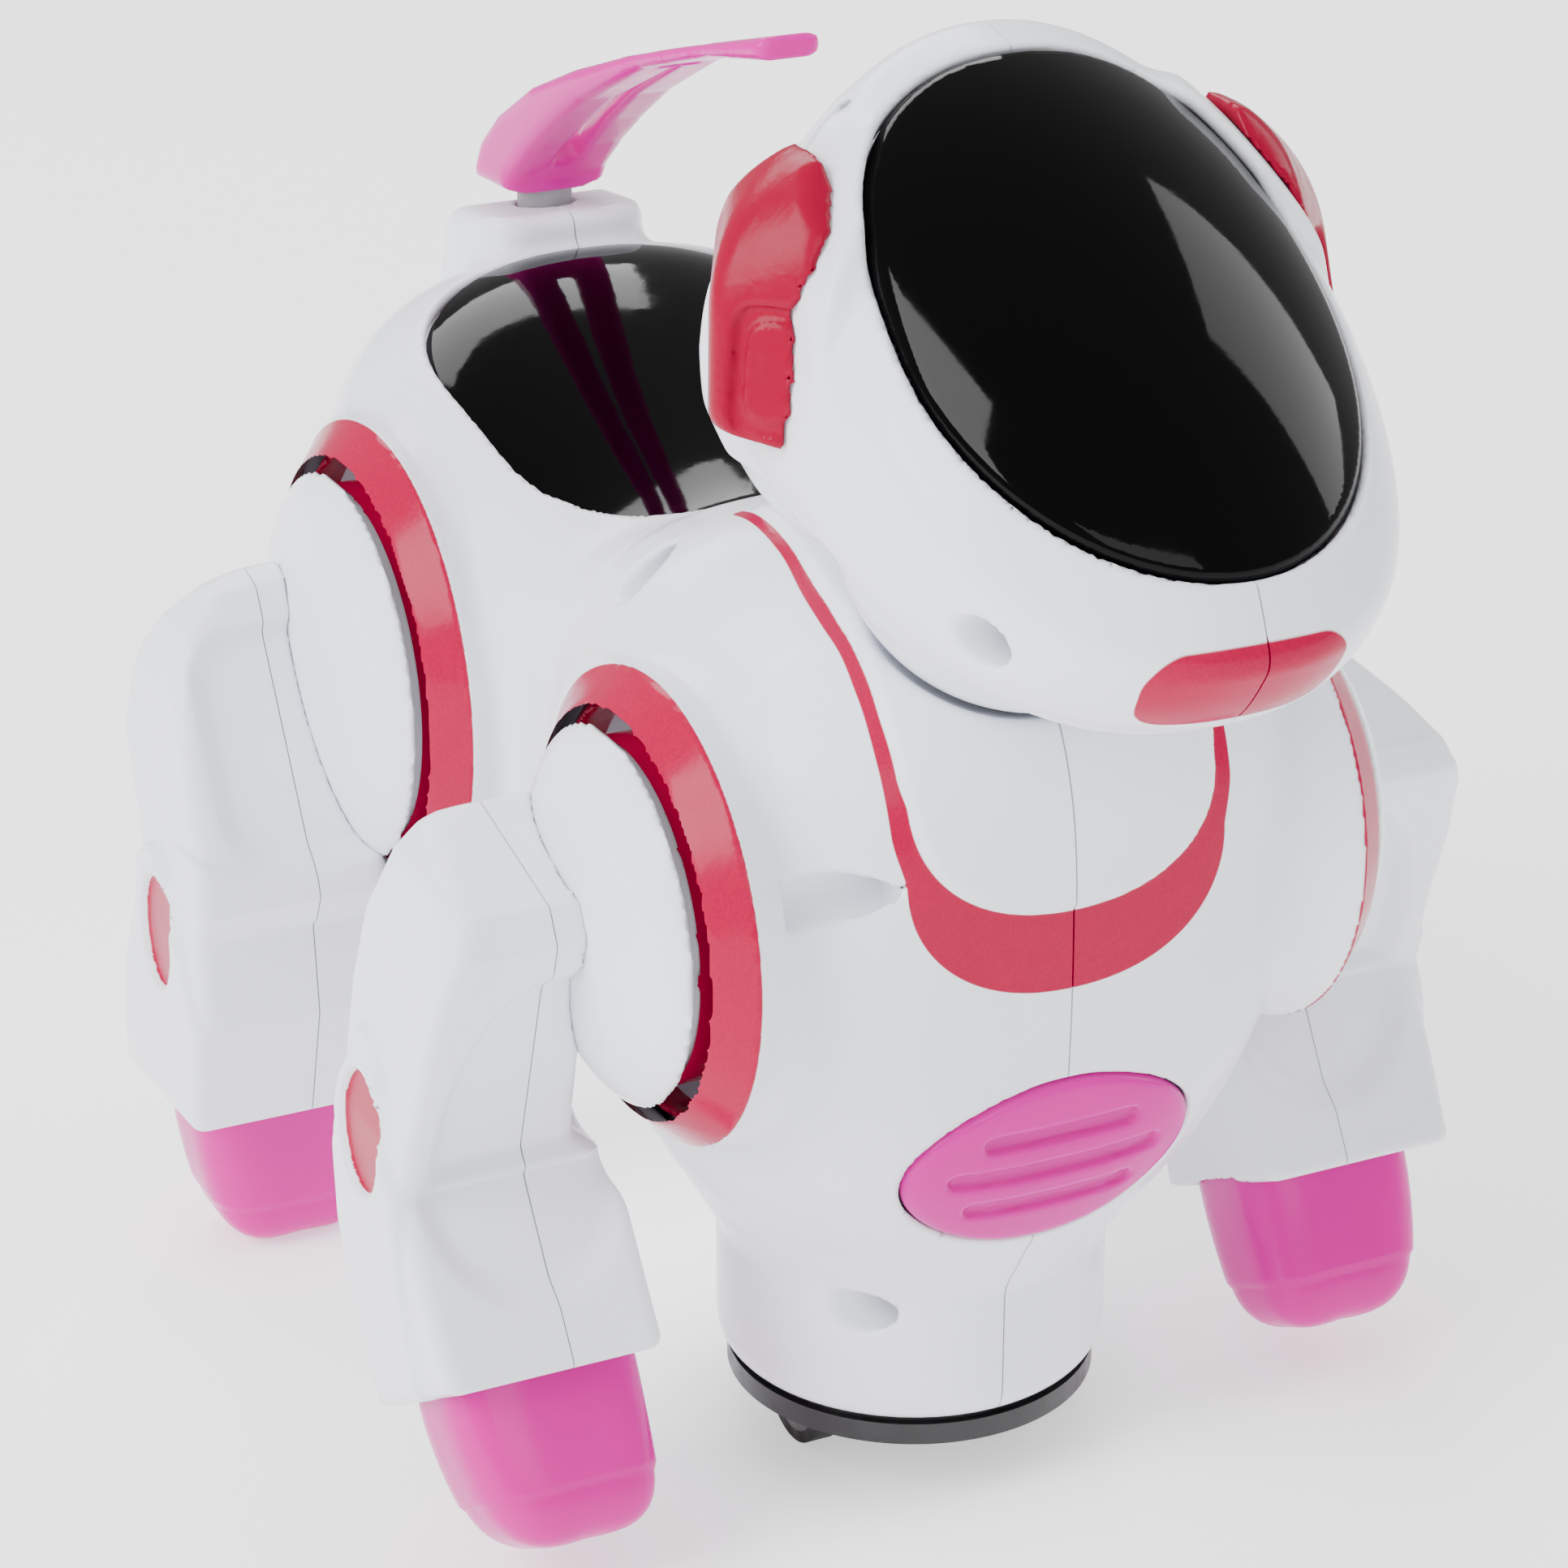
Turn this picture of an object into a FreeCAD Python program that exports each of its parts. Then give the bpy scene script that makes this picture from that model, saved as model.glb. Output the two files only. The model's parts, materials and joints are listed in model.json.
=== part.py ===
import FreeCAD, Part
import math
import os
from FreeCAD import Vector

# Robot dog toy: the dog faces -Y, its left side is +X, the floor is z = 0 and the
# vertical axis of the drive pillar under its chest is x = 0, y = 0. All sizes in mm.

# ---- driving dimensions -------------------------------------------------------------
WALL = 2.2                     # moulded shell thickness
GAP = 0.3                      # gap between pieces that move past each other
PILLAR_R = 26.0                # drive pillar under the chest
PILLAR_BOTTOM = 12.0
PIVOT_Z = 87.5                 # height of the four leg pivots
FRONT_Y = -11.0                # front leg pivots
REAR_Y = 81.0                  # rear leg pivots
FRONT_RING_R = 30.0            # shoulder ring, outer radius
REAR_RING_R = 33.5             # hip ring, outer radius
RING_EDGE = 41.3               # |x| of a ring's widest edge
RING_FACE = 46.6               # |x| of a ring's outer face
LEG_SEAM_X = 57.8              # parting plane of each leg
CRANK_ARM = 14.0               # leg crank length
NECK = Vector(0, -29, 138)     # centre of the neck ball
NECK_R = 24.0
NECK_TILT = 20.0               # neck axis leans forward, degrees
VISOR_TOP = Vector(0, -22, 191)
VISOR_SLOPE = 39.7             # slope of the visor plane, degrees
TAIL_Y = 118.0                 # tail pivot
WHEEL_R = 8.0
WHEEL_X = 16.0
AXLE_Z = WHEEL_R
MODULE = 0.5                   # gear module
CELL_R = 7.1                   # AA cell
CELL_L = 50.0
SCREW_HEAD_R = 2.6
SCREW_R = 1.2

os.makedirs("parts", exist_ok=True)
ORIGIN = Vector(0, 0, 0)
X_AXIS = Vector(1, 0, 0)


# ---- small helpers --------------------------------------------------------------------
def save(name, shape):
    shape.exportStep("parts/" + name + ".step")


def box(x0, x1, y0, y1, z0, z1):
    return Part.makeBox(x1 - x0, y1 - y0, z1 - z0, Vector(x0, y0, z0))


def rod(radius, start, end):
    along = end - start
    return Part.makeCylinder(radius, along.Length, start, along)


def rod_x(radius, x0, x1, y, z):
    return rod(radius, Vector(x0, y, z), Vector(x1, y, z))


def rod_z(radius, x, y, z0, z1):
    return rod(radius, Vector(x, y, z0), Vector(x, y, z1))


def tube_x(outer, inner, x0, x1, y, z):
    return rod_x(outer, x0, x1, y, z).cut(rod_x(inner, x0, x1, y, z))


def prism(points, direction):
    """A solid swept from a closed polygon along a vector."""
    wire = Part.makePolygon(points + [points[0]])
    return upright(Part.Face(wire).extrude(direction))


def prism_x(outline, x0, x1):
    """A prism along X from an outline of (y, z) points."""
    return prism([Vector(x0, y, z) for y, z in outline], Vector(x1 - x0, 0, 0))


def prism_y(outline, y0, y1):
    """A prism along Y from an outline of (x, z) points."""
    return prism([Vector(x, y0, z) for x, z in outline], Vector(0, y1 - y0, 0))


def shrink(outline, amount):
    """An outline of 2-D points with every side moved inwards by an amount."""
    count = len(outline)
    area = sum(outline[i - 1][0] * outline[i][1] - outline[i][0] * outline[i - 1][1] for i in range(count))
    turn = math.copysign(1, area)
    sides = []
    for i in range(count):
        (a0, b0), (a1, b1) = outline[i - 1], outline[i]
        length = math.hypot(a1 - a0, b1 - b0)
        normal = (-(b1 - b0) / length * turn, (a1 - a0) / length * turn)
        sides.append((normal, normal[0] * a0 + normal[1] * b0 + amount))
    corners = []
    for i in range(count):
        (n0, d0), (n1, d1) = sides[i], sides[(i + 1) % count]
        cross = n0[0] * n1[1] - n0[1] * n1[0]
        corners.append(((d0 * n1[1] - d1 * n0[1]) / cross, (n0[0] * d1 - n1[0] * d0) / cross))
    return corners


def turned_x(profile, y, z):
    """A solid turned about an axis along X, from (x, radius) points."""
    points = [Vector(x, y + r, z) for x, r in profile]
    face = Part.Face(Part.makePolygon(points + [points[0]]))
    return upright(face.revolve(Vector(0, y, z), X_AXIS, 360))


def super_wire(place, across, up_low, up_high, power_low=2.0, power_high=2.0, count=28):
    """A closed smooth section. place(a, b) gives a point for (across, up) sizes; the low and
    high halves may differ in height and in squareness."""
    points = []
    for i in range(count):
        angle = 2 * math.pi * i / count
        c, s = math.cos(angle), math.sin(angle)
        power = power_high if s > 0 else power_low
        height = up_high if s > 0 else up_low
        a = across * math.copysign(abs(c) ** (2 / power), c)
        b = height * math.copysign(abs(s) ** (2 / power), s)
        points.append(place(a, b))
    curve = Part.BSplineCurve()
    curve.interpolate(Points=points, PeriodicFlag=True)
    return Part.Wire([curve.toShape()])


def upright(solid):
    """A swept solid with its skin facing outwards."""
    if solid.Volume < 0:
        solid.reverse()
    return solid


def mirrored(shape):
    return shape.mirror(ORIGIN, X_AXIS)


def gear(teeth, thickness, x0, y, z, phase, bore):
    """A spur gear about X with slim straight-sided teeth; phase turns it, in teeth."""
    pitch_r = MODULE * teeth / 2
    root, tip = pitch_r - 0.6, pitch_r + 0.4
    step = 2 * math.pi / teeth
    points = []
    for i in range(teeth):
        middle = (i + phase) * step
        for radius, share in ((root, -0.28), (tip, -0.10), (tip, 0.10), (root, 0.28)):
            angle = middle + share * step
            points.append((y + radius * math.cos(angle), z + radius * math.sin(angle)))
    body = prism_x(points, x0, x0 + thickness)
    return body.cut(rod_x(bore, x0, x0 + thickness, y, z))


# ---- body shell -------------------------------------------------------------------------
# chest sections up the Z axis: height, half width, half depth, squareness
CHEST = [(PILLAR_BOTTOM, 26, 26, 2.0), (20, 26, 26, 2.0), (28, 26, 26, 2.0),
         (36, 29, 29.5, 2.1), (45, 33.5, 34.5, 2.3), (56, 38, 38.6, 2.7), (68, 40.5, 40.6, 3.2),
         (80, 41, 41, 3.6), (92, 41, 40.6, 3.6), (103, 38.5, 37.5, 3.2), (112, 33, 32, 2.8),
         (119, 25, 25, 2.4)]
# trunk sections along Y: place, half width, bottom, top, lower and upper squareness
TRUNK = [(-28, 24, 62, 110, 2.2, 2.2), (-10, 40, 49, 120, 3.0, 2.6), (8, 41, 47, 127, 4.0, 2.7),
         (22, 38, 50, 123.5, 5.0, 2.8), (38, 36, 51.5, 118, 6.0, 3.0), (55, 38, 51.5, 121.5, 6.0, 3.0),
         (75, 42, 51.5, 129, 6.0, 2.8), (92, 43, 52.5, 134.5, 5.0, 2.6), (104, 40.5, 57, 135.5, 3.2, 2.4),
         (114, 35, 66, 132, 2.6, 2.2), (121.5, 25, 79, 123, 2.2, 2.1), (126, 11, 95, 109, 2.0, 2.0)]


def chest(inset):
    wires = []
    for z, across, depth, power in CHEST:
        level = z - (inset if z == CHEST[-1][0] else 0)
        place = lambda a, b, h=level: Vector(a, b, h)
        wires.append(super_wire(place, across - inset, depth - inset, depth - inset, power, power))
    return Part.makeLoft(wires, True, False)


def trunk(inset):
    wires = []
    for y, across, bottom, top, power_low, power_high in TRUNK:
        station = y - (inset if y == TRUNK[-1][0] else 0)
        middle = (bottom + top) / 2
        half = (top - bottom) / 2 - inset
        place = lambda a, b, s=station, m=middle: Vector(a, s, m + b)
        wires.append(super_wire(place, across - inset, half, half, power_low, power_high))
    return Part.makeLoft(wires, True, False)


NECK_AXIS = Vector(0, -math.sin(math.radians(NECK_TILT)), math.cos(math.radians(NECK_TILT)))


def along_neck(distance):
    return NECK + NECK_AXIS * distance


def socket(y, ring_r):
    """The raised ring round a leg pivot, with the cup that its hub turns in."""
    profile = [(33.5, 0), (33.5, ring_r - 5.5), (37.0, ring_r - 0.6), (RING_EDGE, ring_r),
               (RING_FACE, ring_r - 5.2), (RING_FACE, 0)]
    return turned_x(profile, y, PIVOT_Z)


def hub_space(y, ring_r):
    cup = rod_x(ring_r - 6.2, 36.0, 60.0, y, PIVOT_Z)
    shaft_hole = rod_x(3.05, 20.0, 60.0, y, PIVOT_Z)
    return cup.fuse(shaft_hole)


# chest lens: an oval that faces forward and slightly down
LENS_CENTRE = Vector(0, -37.8, 55.2)
LENS_NORMAL = Vector(0, -0.967, -0.256)
LENS_UP = Vector(0, -0.256, 0.967)
LENS_HALF_W = 20.0
LENS_HALF_H = 12.9


def lens_prism(extra, inner, outer):
    start = LENS_CENTRE - LENS_NORMAL * inner
    place = lambda a, b: start + X_AXIS * a + LENS_UP * b
    wire = super_wire(place, LENS_HALF_W + extra, LENS_HALF_H + extra, LENS_HALF_H + extra)
    return upright(Part.Face(wire).extrude(LENS_NORMAL * (inner + outer)))


# back panel: a broad dark window over the hips
PANEL_LENGTH = (39.0, 105.0)


def panel_prism(extra):
    front, back = PANEL_LENGTH
    place = lambda a, b: Vector(a * (1 + 0.003 * b), (front + back) / 2 + b, 100)
    wire = super_wire(place, 30 + extra, (back - front) / 2 + extra, (back - front) / 2 + extra, 3.0, 2.7)
    return upright(Part.Face(wire).extrude(Vector(0, 0, 45)))


# battery compartment in the belly
BATTERY_Y = (44.0, 92.6)
BATTERY_HALF_X = 28.3
BATTERY_Z = (51.5, 69.5)
DOOR_Z = (49.5, 51.5)
CELL_Z = 60.6
CELL_PITCH = 15.2
SWITCH_Y = 33.0

# screw posts across the body: place (y, z) and reach to the wall
BODY_SCREWS = [(-18.8, 29.0, 20.0), (-35.5, 96.5, 34.5), (13.0, 121.0, 34.0), (110.0, 98.0, 35.5),
               (37.0, 66.5, 40.0), (14.0, 60.0, 40.0)]

outer = chest(0).fuse(trunk(0))
for pivot_y, ring_r in ((FRONT_Y, FRONT_RING_R), (REAR_Y, REAR_RING_R)):
    ring = socket(pivot_y, ring_r)
    outer = outer.fuse(ring).fuse(mirrored(ring))
tail_boss_outline = [(106.5, 128), (107.5, 139), (124.5, 139), (127.5, 131), (125, 112), (112, 112)]
tail_boss = prism_x(tail_boss_outline, -13.0, 13.0)
corner_cut = prism([Vector(9, 100, 0), Vector(30, 130, 0), Vector(30, 100, 0)], Vector(0, 0, 200))
tail_boss = tail_boss.cut(corner_cut).cut(mirrored(corner_cut))
outer = outer.fuse(tail_boss)

hollow = chest(WALL).fuse(trunk(WALL))
bowl = Part.makeSphere(NECK_R + GAP + WALL + 0.4, NECK)
hollow = hollow.cut(bowl)
for pivot_y, ring_r in ((FRONT_Y, FRONT_RING_R), (REAR_Y, REAR_RING_R)):
    cup = rod_x(ring_r - 4.2, 33.8, 50, pivot_y, PIVOT_Z)
    hollow = hollow.cut(cup).cut(mirrored(cup))
hollow = hollow.fuse(rod_z(9.5, 0, TAIL_Y, 118, 136.5))

shell = outer.cut(hollow)
shell = shell.cut(Part.makeSphere(NECK_R + GAP + 0.4, NECK))
shell = shell.cut(rod(11.0, along_neck(-40), along_neck(0)))
for pivot_y, ring_r in ((FRONT_Y, FRONT_RING_R), (REAR_Y, REAR_RING_R)):
    space = hub_space(pivot_y, ring_r)
    shell = shell.cut(space).cut(mirrored(space))
shell = shell.cut(lens_prism(0.25, 8, 8))
shell = shell.cut(panel_prism(0.25))
shell = shell.cut(rod_z(4.3, 0, TAIL_Y, 130, 145))
tray_half = BATTERY_HALF_X + GAP
shell = shell.cut(box(-tray_half, tray_half, BATTERY_Y[0] - GAP, BATTERY_Y[1] + GAP, 40, 70))
shell = shell.cut(box(-4.2, 4.2, SWITCH_Y - 5.2, SWITCH_Y + 5.2, 40, 60))


def screw_boss(y, z, reach):
    """Left post, right post with a counterbore, and the screw that joins them."""
    left = rod_x(3.4, 0, reach, y, z).cut(rod_x(SCREW_R, 0, 9, y, z))
    right = rod_x(4.2, -reach, 0, y, z)
    bore = rod_x(SCREW_HEAD_R + 0.4, -60, -7, y, z).fuse(rod_x(SCREW_R + 0.3, -8, 0, y, z))
    head = rod_x(SCREW_HEAD_R, -8.8, -7, y, z).cut(box(-9, -8.2, y - 0.4, y + 0.4, z - 2, z + 2))
    return left, right, bore, head.fuse(rod_x(SCREW_R - 0.02, -7, 8, y, z))


left_shell = shell.common(box(0, 90, -90, 160, 0, 200))
right_shell = shell.common(box(-90, 0, -90, 160, 0, 200))
body_screws = []
for y, z, reach in BODY_SCREWS:
    left, right, bore, screw = screw_boss(y, z, reach)
    left_shell = left_shell.fuse(left.common(outer)).cut(rod_x(SCREW_R, 0, 9, y, z))
    right_shell = right_shell.fuse(right.common(outer)).cut(bore)
    body_screws.append(screw)
save("body_shell_left", left_shell)
save("body_shell_right", right_shell)
save("body_screws", Part.makeCompound(body_screws))

# ---- panel, lens, speaker ---------------------------------------------------------------
band = trunk(0).cut(trunk(WALL)).common(box(-60, 60, 30, 120, 90, 150))
save("back_panel", panel_prism(0).common(band))
lens = lens_prism(0, 8, 8).common(chest(-0.8).cut(chest(WALL)))
for offset in (-5.0, 0.0, 5.0):
    groove_at = LENS_CENTRE + LENS_UP * offset
    half = 12.0 - 0.2 * abs(offset)
    groove_at = groove_at + LENS_NORMAL * 2.2
    groove = rod(0.9, groove_at - X_AXIS * half, groove_at + X_AXIS * half)
    lens = lens.cut(groove)
save("chest_lens", lens)

SPEAKER_BACK = LENS_CENTRE - LENS_NORMAL * 14
SPEAKER_FRONT = LENS_CENTRE - LENS_NORMAL * 7
SPEAKER_MIDDLE = LENS_CENTRE - LENS_NORMAL * 9
speaker = rod(13.0, SPEAKER_MIDDLE, SPEAKER_FRONT).fuse(rod(8.0, SPEAKER_BACK, SPEAKER_MIDDLE))
cone = Part.makeCone(9.0, 3.0, 2.0, SPEAKER_FRONT, LENS_NORMAL * -1)
save("speaker", speaker.cut(cone))

# ---- battery compartment ----------------------------------------------------------------
tray = box(-BATTERY_HALF_X, BATTERY_HALF_X, BATTERY_Y[0], BATTERY_Y[1], *BATTERY_Z)
cell_half = BATTERY_HALF_X - 1.5
tray = tray.cut(box(-cell_half, cell_half, BATTERY_Y[0] + 1.4, BATTERY_Y[1] - 1.4, 50, 68.2))
middle_y = (BATTERY_Y[0] + BATTERY_Y[1]) / 2
for x in (-18, 18):
    for y in (middle_y - 16, middle_y + 16):
        tray = tray.fuse(rod_z(2.5, x, y, 69.5, 77.0))
door_screw_y = BATTERY_Y[0] + 3.0
save("battery_box", tray)
cells = []
contacts = []
for i in (-1, 0, 1):
    y = middle_y + i * CELL_PITCH
    cell = rod_x(CELL_R, -CELL_L / 2, CELL_L / 2 - 1.2, y, CELL_Z)
    cells.append(cell.fuse(rod_x(2.6, CELL_L / 2 - 1.2, CELL_L / 2, y, CELL_Z)))
    plate = box(CELL_L / 2 + 0.1, CELL_L / 2 + 0.5, y - 5, y + 5, CELL_Z - 5, CELL_Z + 5)
    spring = tube_x(4.0, 3.2, -CELL_L / 2 - 1.7, -CELL_L / 2 - 0.1, y, CELL_Z)
    contacts += [plate, spring]
save("batteries", Part.makeCompound(cells))
save("battery_contacts", Part.makeCompound(contacts))
door = box(-BATTERY_HALF_X, BATTERY_HALF_X, BATTERY_Y[0], BATTERY_Y[1], *DOOR_Z)
for i in range(5):
    x = -10 + 5 * i
    door = door.cut(box(x - 0.8, x + 0.8, BATTERY_Y[1] - 14, BATTERY_Y[1] - 6, 49, 50.1))
screw_y = door_screw_y + 1.6
door = door.cut(rod_z(SCREW_R + 0.2, 0, screw_y, 45, 55)).cut(rod_z(2.8, 0, screw_y, 45, 50.3))
save("battery_door", door)
door_screw = rod_z(SCREW_HEAD_R, 0, screw_y, 49.3, 50.3).fuse(rod_z(1.1, 0, screw_y, 50.3, 52.8))
save("battery_door_screw", door_screw.cut(box(-2, 2, door_screw_y + 1.2, door_screw_y + 2.0, 49, 49.8)))

# ---- main board and switch --------------------------------------------------------------
board = box(-22, 22, middle_y - 20, middle_y + 20, 77.0, 78.6)
CHIPS = ((-8, middle_y - 6, 14, 10, 3), (10, middle_y + 8, 8, 8, 6), (12, middle_y - 10, 6, 10, 4))
for x, y, w, d, h in CHIPS:
    board = board.fuse(box(x - w / 2, x + w / 2, y - d / 2, y + d / 2, 78.6, 78.6 + h))
save("main_board", board)
switch_box = box(-6, 6, SWITCH_Y - 8, SWITCH_Y + 8, 54.2, 60.0)
switch_box = switch_box.cut(box(-2.6, 2.6, SWITCH_Y - 4.6, SWITCH_Y + 4.6, 54, 58.5))
save("switch_housing", switch_box)
knob = box(-2.3, 2.3, SWITCH_Y - 4.3, SWITCH_Y + 0.3, 49.5, 58.0)
for i in range(3):
    knob = knob.cut(box(-2.5, 2.5, SWITCH_Y - 3.6 + 1.3 * i, SWITCH_Y - 3.0 + 1.3 * i, 49, 50.0))
save("power_switch_knob", knob)

# ---- drive unit in the pillar -----------------------------------------------------------
base_ring = rod_z(PILLAR_R - WALL - 0.1, 0, 0, 9.0, 17.0)
base_ring = base_ring.cut(rod_z(20.4, 0, 0, 5, 20)).cut(rod_z(22.4, 0, 0, 12.4, 20))
base_ring = base_ring.fuse(rod_z(24.6, 0, 0, 9.0, 12.0).cut(rod_z(20.4, 0, 0, 5, 20)))
base_ring = base_ring.cut(rod_z(22.4, 0, 0, 12.4, 20))
save("base_ring", base_ring)
COMPOUND_R = MODULE * 9 / 2
AXLE_GEAR_R = MODULE * 24 / 2
BIG_GEAR_R = MODULE * 26 / 2
PINION_R = MODULE * 8 / 2
train_a = math.radians(45)
train_b = math.radians(110)
compound_y = (AXLE_GEAR_R + COMPOUND_R) * math.cos(train_a)
compound_z = AXLE_Z + (AXLE_GEAR_R + COMPOUND_R) * math.sin(train_a)
motor_y = compound_y + (BIG_GEAR_R + PINION_R) * math.cos(train_b)
motor_z = compound_z + (BIG_GEAR_R + PINION_R) * math.sin(train_b)

turntable = rod_z(20.0, 0, 0, 6.5, 12.7).fuse(rod_z(22.0, 0, 0, 12.7, 14.7))
for x in (-WHEEL_X, WHEEL_X):
    turntable = turntable.cut(box(x - 2.4, x + 2.4, -9, 9, 0, 20))
turntable = turntable.cut(box(-3.2, 8.6, -7.8, 14.2, 0, 20))
turntable = turntable.cut(rod_x(1.05, -30, 30, 0, AXLE_Z)).cut(box(-1.05 - 20, 21.05, -1.05, 1.05, 5, AXLE_Z))
for x0, x1 in ((-5.4, -3.6), (9.0, 10.8)):
    cheek = box(x0, x1, -4, 12, 14.7, 16.4)
    cheek = cheek.fuse(box(x0, x1, compound_y - 3, compound_y + 3, 10.0, 16.4))
    turntable = turntable.fuse(cheek)
turntable = turntable.cut(rod_x(0.85, -12, 12, compound_y, compound_z))
save("turntable", turntable)

motor = box(-10.5, 4.0, motor_y - 6, motor_y + 6, motor_z - 5, motor_z + 5)
motor = motor.common(rod_x(6.6, -10.5, 4.0, motor_y, motor_z)).fuse(rod_x(0.8, 4.0, 4.6, motor_y, motor_z))
cradle = box(-9.5, -3.0, motor_y - 4, motor_y + 4, 16.4, motor_z - 5)
save("drive_motor", motor.fuse(cradle))
pinion = gear(8, 2.0, 5.6, motor_y, motor_z, 0.0, 0.5)
save("motor_pinion", pinion.fuse(rod_x(0.5, 5.0, 7.6, motor_y, motor_z)))
small = gear(9, 3.4, -1.7, compound_y, compound_z, 0.0, 0.8)
large = gear(26, 1.8, 5.7, compound_y, compound_z, 0.0, 0.8)
spacer = tube_x(1.6, 0.8, 1.7, 5.7, compound_y, compound_z)
compound = small.fuse(spacer).fuse(large).fuse(rod_x(0.8, -6.0, 11.4, compound_y, compound_z))
save("compound_gear", compound)
axle = rod_x(1.0, -WHEEL_X - 3.5, WHEEL_X + 3.5, 0, AXLE_Z)
axle_gear = gear(24, 3.0, -1.5, 0, AXLE_Z, 0.0, 1.0).fuse(axle)
save("drive_axle", axle_gear)
wheels = []
tyres = []
for x in (-WHEEL_X, WHEEL_X):
    wheels.append(tube_x(WHEEL_R - 1.6, 1.0, x - 1.75, x + 1.75, 0, AXLE_Z))
    tyres.append(tube_x(WHEEL_R, WHEEL_R - 1.6, x - 1.75, x + 1.75, 0, AXLE_Z))
save("drive_wheels", Part.makeCompound(wheels))
save("wheel_tyres", Part.makeCompound(tyres))

# ---- head -------------------------------------------------------------------------------
slope = math.radians(VISOR_SLOPE)
DOWN = Vector(0, -math.cos(slope), -math.sin(slope))     # along the visor, towards the chin
OUT = Vector(0, -math.sin(slope), math.cos(slope))       # out of the visor


def on_head(a, s, n):
    """A point of the head: across, down the visor from its top, and out of its plane."""
    return VISOR_TOP + X_AXIS * a + DOWN * s + OUT * n


# head sections behind the visor plane: depth, middle, half height, half width
HEAD = [(9, 35.5, 42.5, 29.5), (-4, 35.5, 43.4, 31), (-13, 34.6, 44, 33.5), (-22, 32.4, 42.4, 35.2),
        (-29, 24, 33.5, 35), (-37, 20, 28, 33), (-46, 18, 23.5, 29), (-55, 16.5, 17, 22), (-61, 16, 8.5, 11)]
# the front of the head and its visor are parts of one egg-shaped dome
DOME_MIDDLE = (36.0, -33.0)
DOME_LENGTH = 63.7
DOME_R = 39.5


def dome(extra):
    centre = on_head(0, *DOME_MIDDLE)
    ellipse = Part.Ellipse(centre + DOWN * (DOME_LENGTH + extra), centre + OUT * (DOME_R + extra), centre)
    arc = ellipse.toShape(0, math.pi)
    first, last = arc.valueAt(arc.FirstParameter), arc.valueAt(arc.LastParameter)
    face = Part.Face(Part.Wire([arc, Part.makeLine(last, first)]))
    return upright(face.revolve(centre, DOWN, 360))


def head_loft(inset):
    wires = []
    for n, middle, half, across in HEAD:
        depth = n + (inset if n == HEAD[-1][0] else 0)
        place = lambda a, b, d=depth, m=middle: on_head(a, m - b, d)
        wires.append(super_wire(place, across - inset, half - inset, half - inset, 2.15, 2.3))
    return Part.makeLoft(wires, True, False).common(dome(1.0 - inset))


def visor_prism(extra, low, high):
    place = lambda a, b: on_head(a, 35.4 - b, low)
    wire = super_wire(place, 26.2 + extra, 36.4 + extra, 36.6 + extra, 2.1, 2.35)
    return upright(Part.Face(wire).extrude(OUT * (high - low)))


head_outer = head_loft(0).fuse(Part.makeSphere(NECK_R, NECK))
head_hollow = head_loft(WALL).fuse(Part.makeSphere(NECK_R - WALL, NECK))
head_shell = head_outer.cut(head_hollow)
head_shell = head_shell.cut(visor_prism(0.2, -20, 20))
head_shell = head_shell.cut(rod(10.7, along_neck(-30), along_neck(-12)))
HEAD_SCREWS = [(-64.0, 138.0, 30.0), (-17.0, 183.5, 30.0), (-29.5, 136.3, 30.0), (6.0, 158.0, 40.0)]
head_left = head_shell.common(box(0, 90, -120, 60, 90, 220))
head_right = head_shell.common(box(-90, 0, -120, 60, 90, 220))
head_screws = []
for y, z, reach in HEAD_SCREWS:
    left, right, bore, screw = screw_boss(y, z, reach)
    head_left = head_left.fuse(left.common(head_outer)).cut(rod_x(SCREW_R, 0, 9, y, z))
    head_right = head_right.fuse(right.common(head_outer)).cut(bore)
    head_screws.append(screw)
save("head_shell_left", head_left)
save("head_shell_right", head_right)
save("head_screws", Part.makeCompound(head_screws))
visor = visor_prism(0, -12, 20).common(dome(0).cut(dome(-2.0)))
save("visor", visor)

light_board = prism([on_head(a, s, -16) for a, s in ((-16, 18), (16, 18), (16, 50), (-16, 50))], OUT * 1.6)
for a in (-10, 0, 10):
    for s in (26, 42):
        light_board = light_board.fuse(rod(2.0, on_head(a, s, -14.4), on_head(a, s, -9.0)))
save("light_board", light_board)

post = rod(12.8, along_neck(-17.4), along_neck(-15.4)).fuse(rod(10.6, along_neck(-29.5), along_neck(-17.4)))
post = post.fuse(rod(13.2, along_neck(-29.5), along_neck(-27.5)))
post = post.cut(rod(7.5, along_neck(-40), along_neck(0)))
save("neck_post", post)

# ears: pods on the sides of the head, from (y, z) outlines at their root and their face
EAR_ROOT = [(-22, 184), (-39, 165.5), (-34, 149), (-18, 147), (-5, 157), (-5, 174), (-12, 181)]
EAR_FACE = [(-28, 177), (-28.5, 166), (-27.5, 155), (-24, 153), (-21, 158), (-21, 171), (-23, 177)]


def ear():
    root = Part.makePolygon([Vector(28, y, z) for y, z in EAR_ROOT + EAR_ROOT[:1]])
    face = Part.makePolygon([Vector(40.5, y, z) for y, z in EAR_FACE + EAR_FACE[:1]])
    pod = Part.makeLoft([root, face], True, True)
    return pod.cut(head_outer)


ear_left = ear()
save("ear_left", ear_left)
save("ear_right", mirrored(ear_left))

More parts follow.
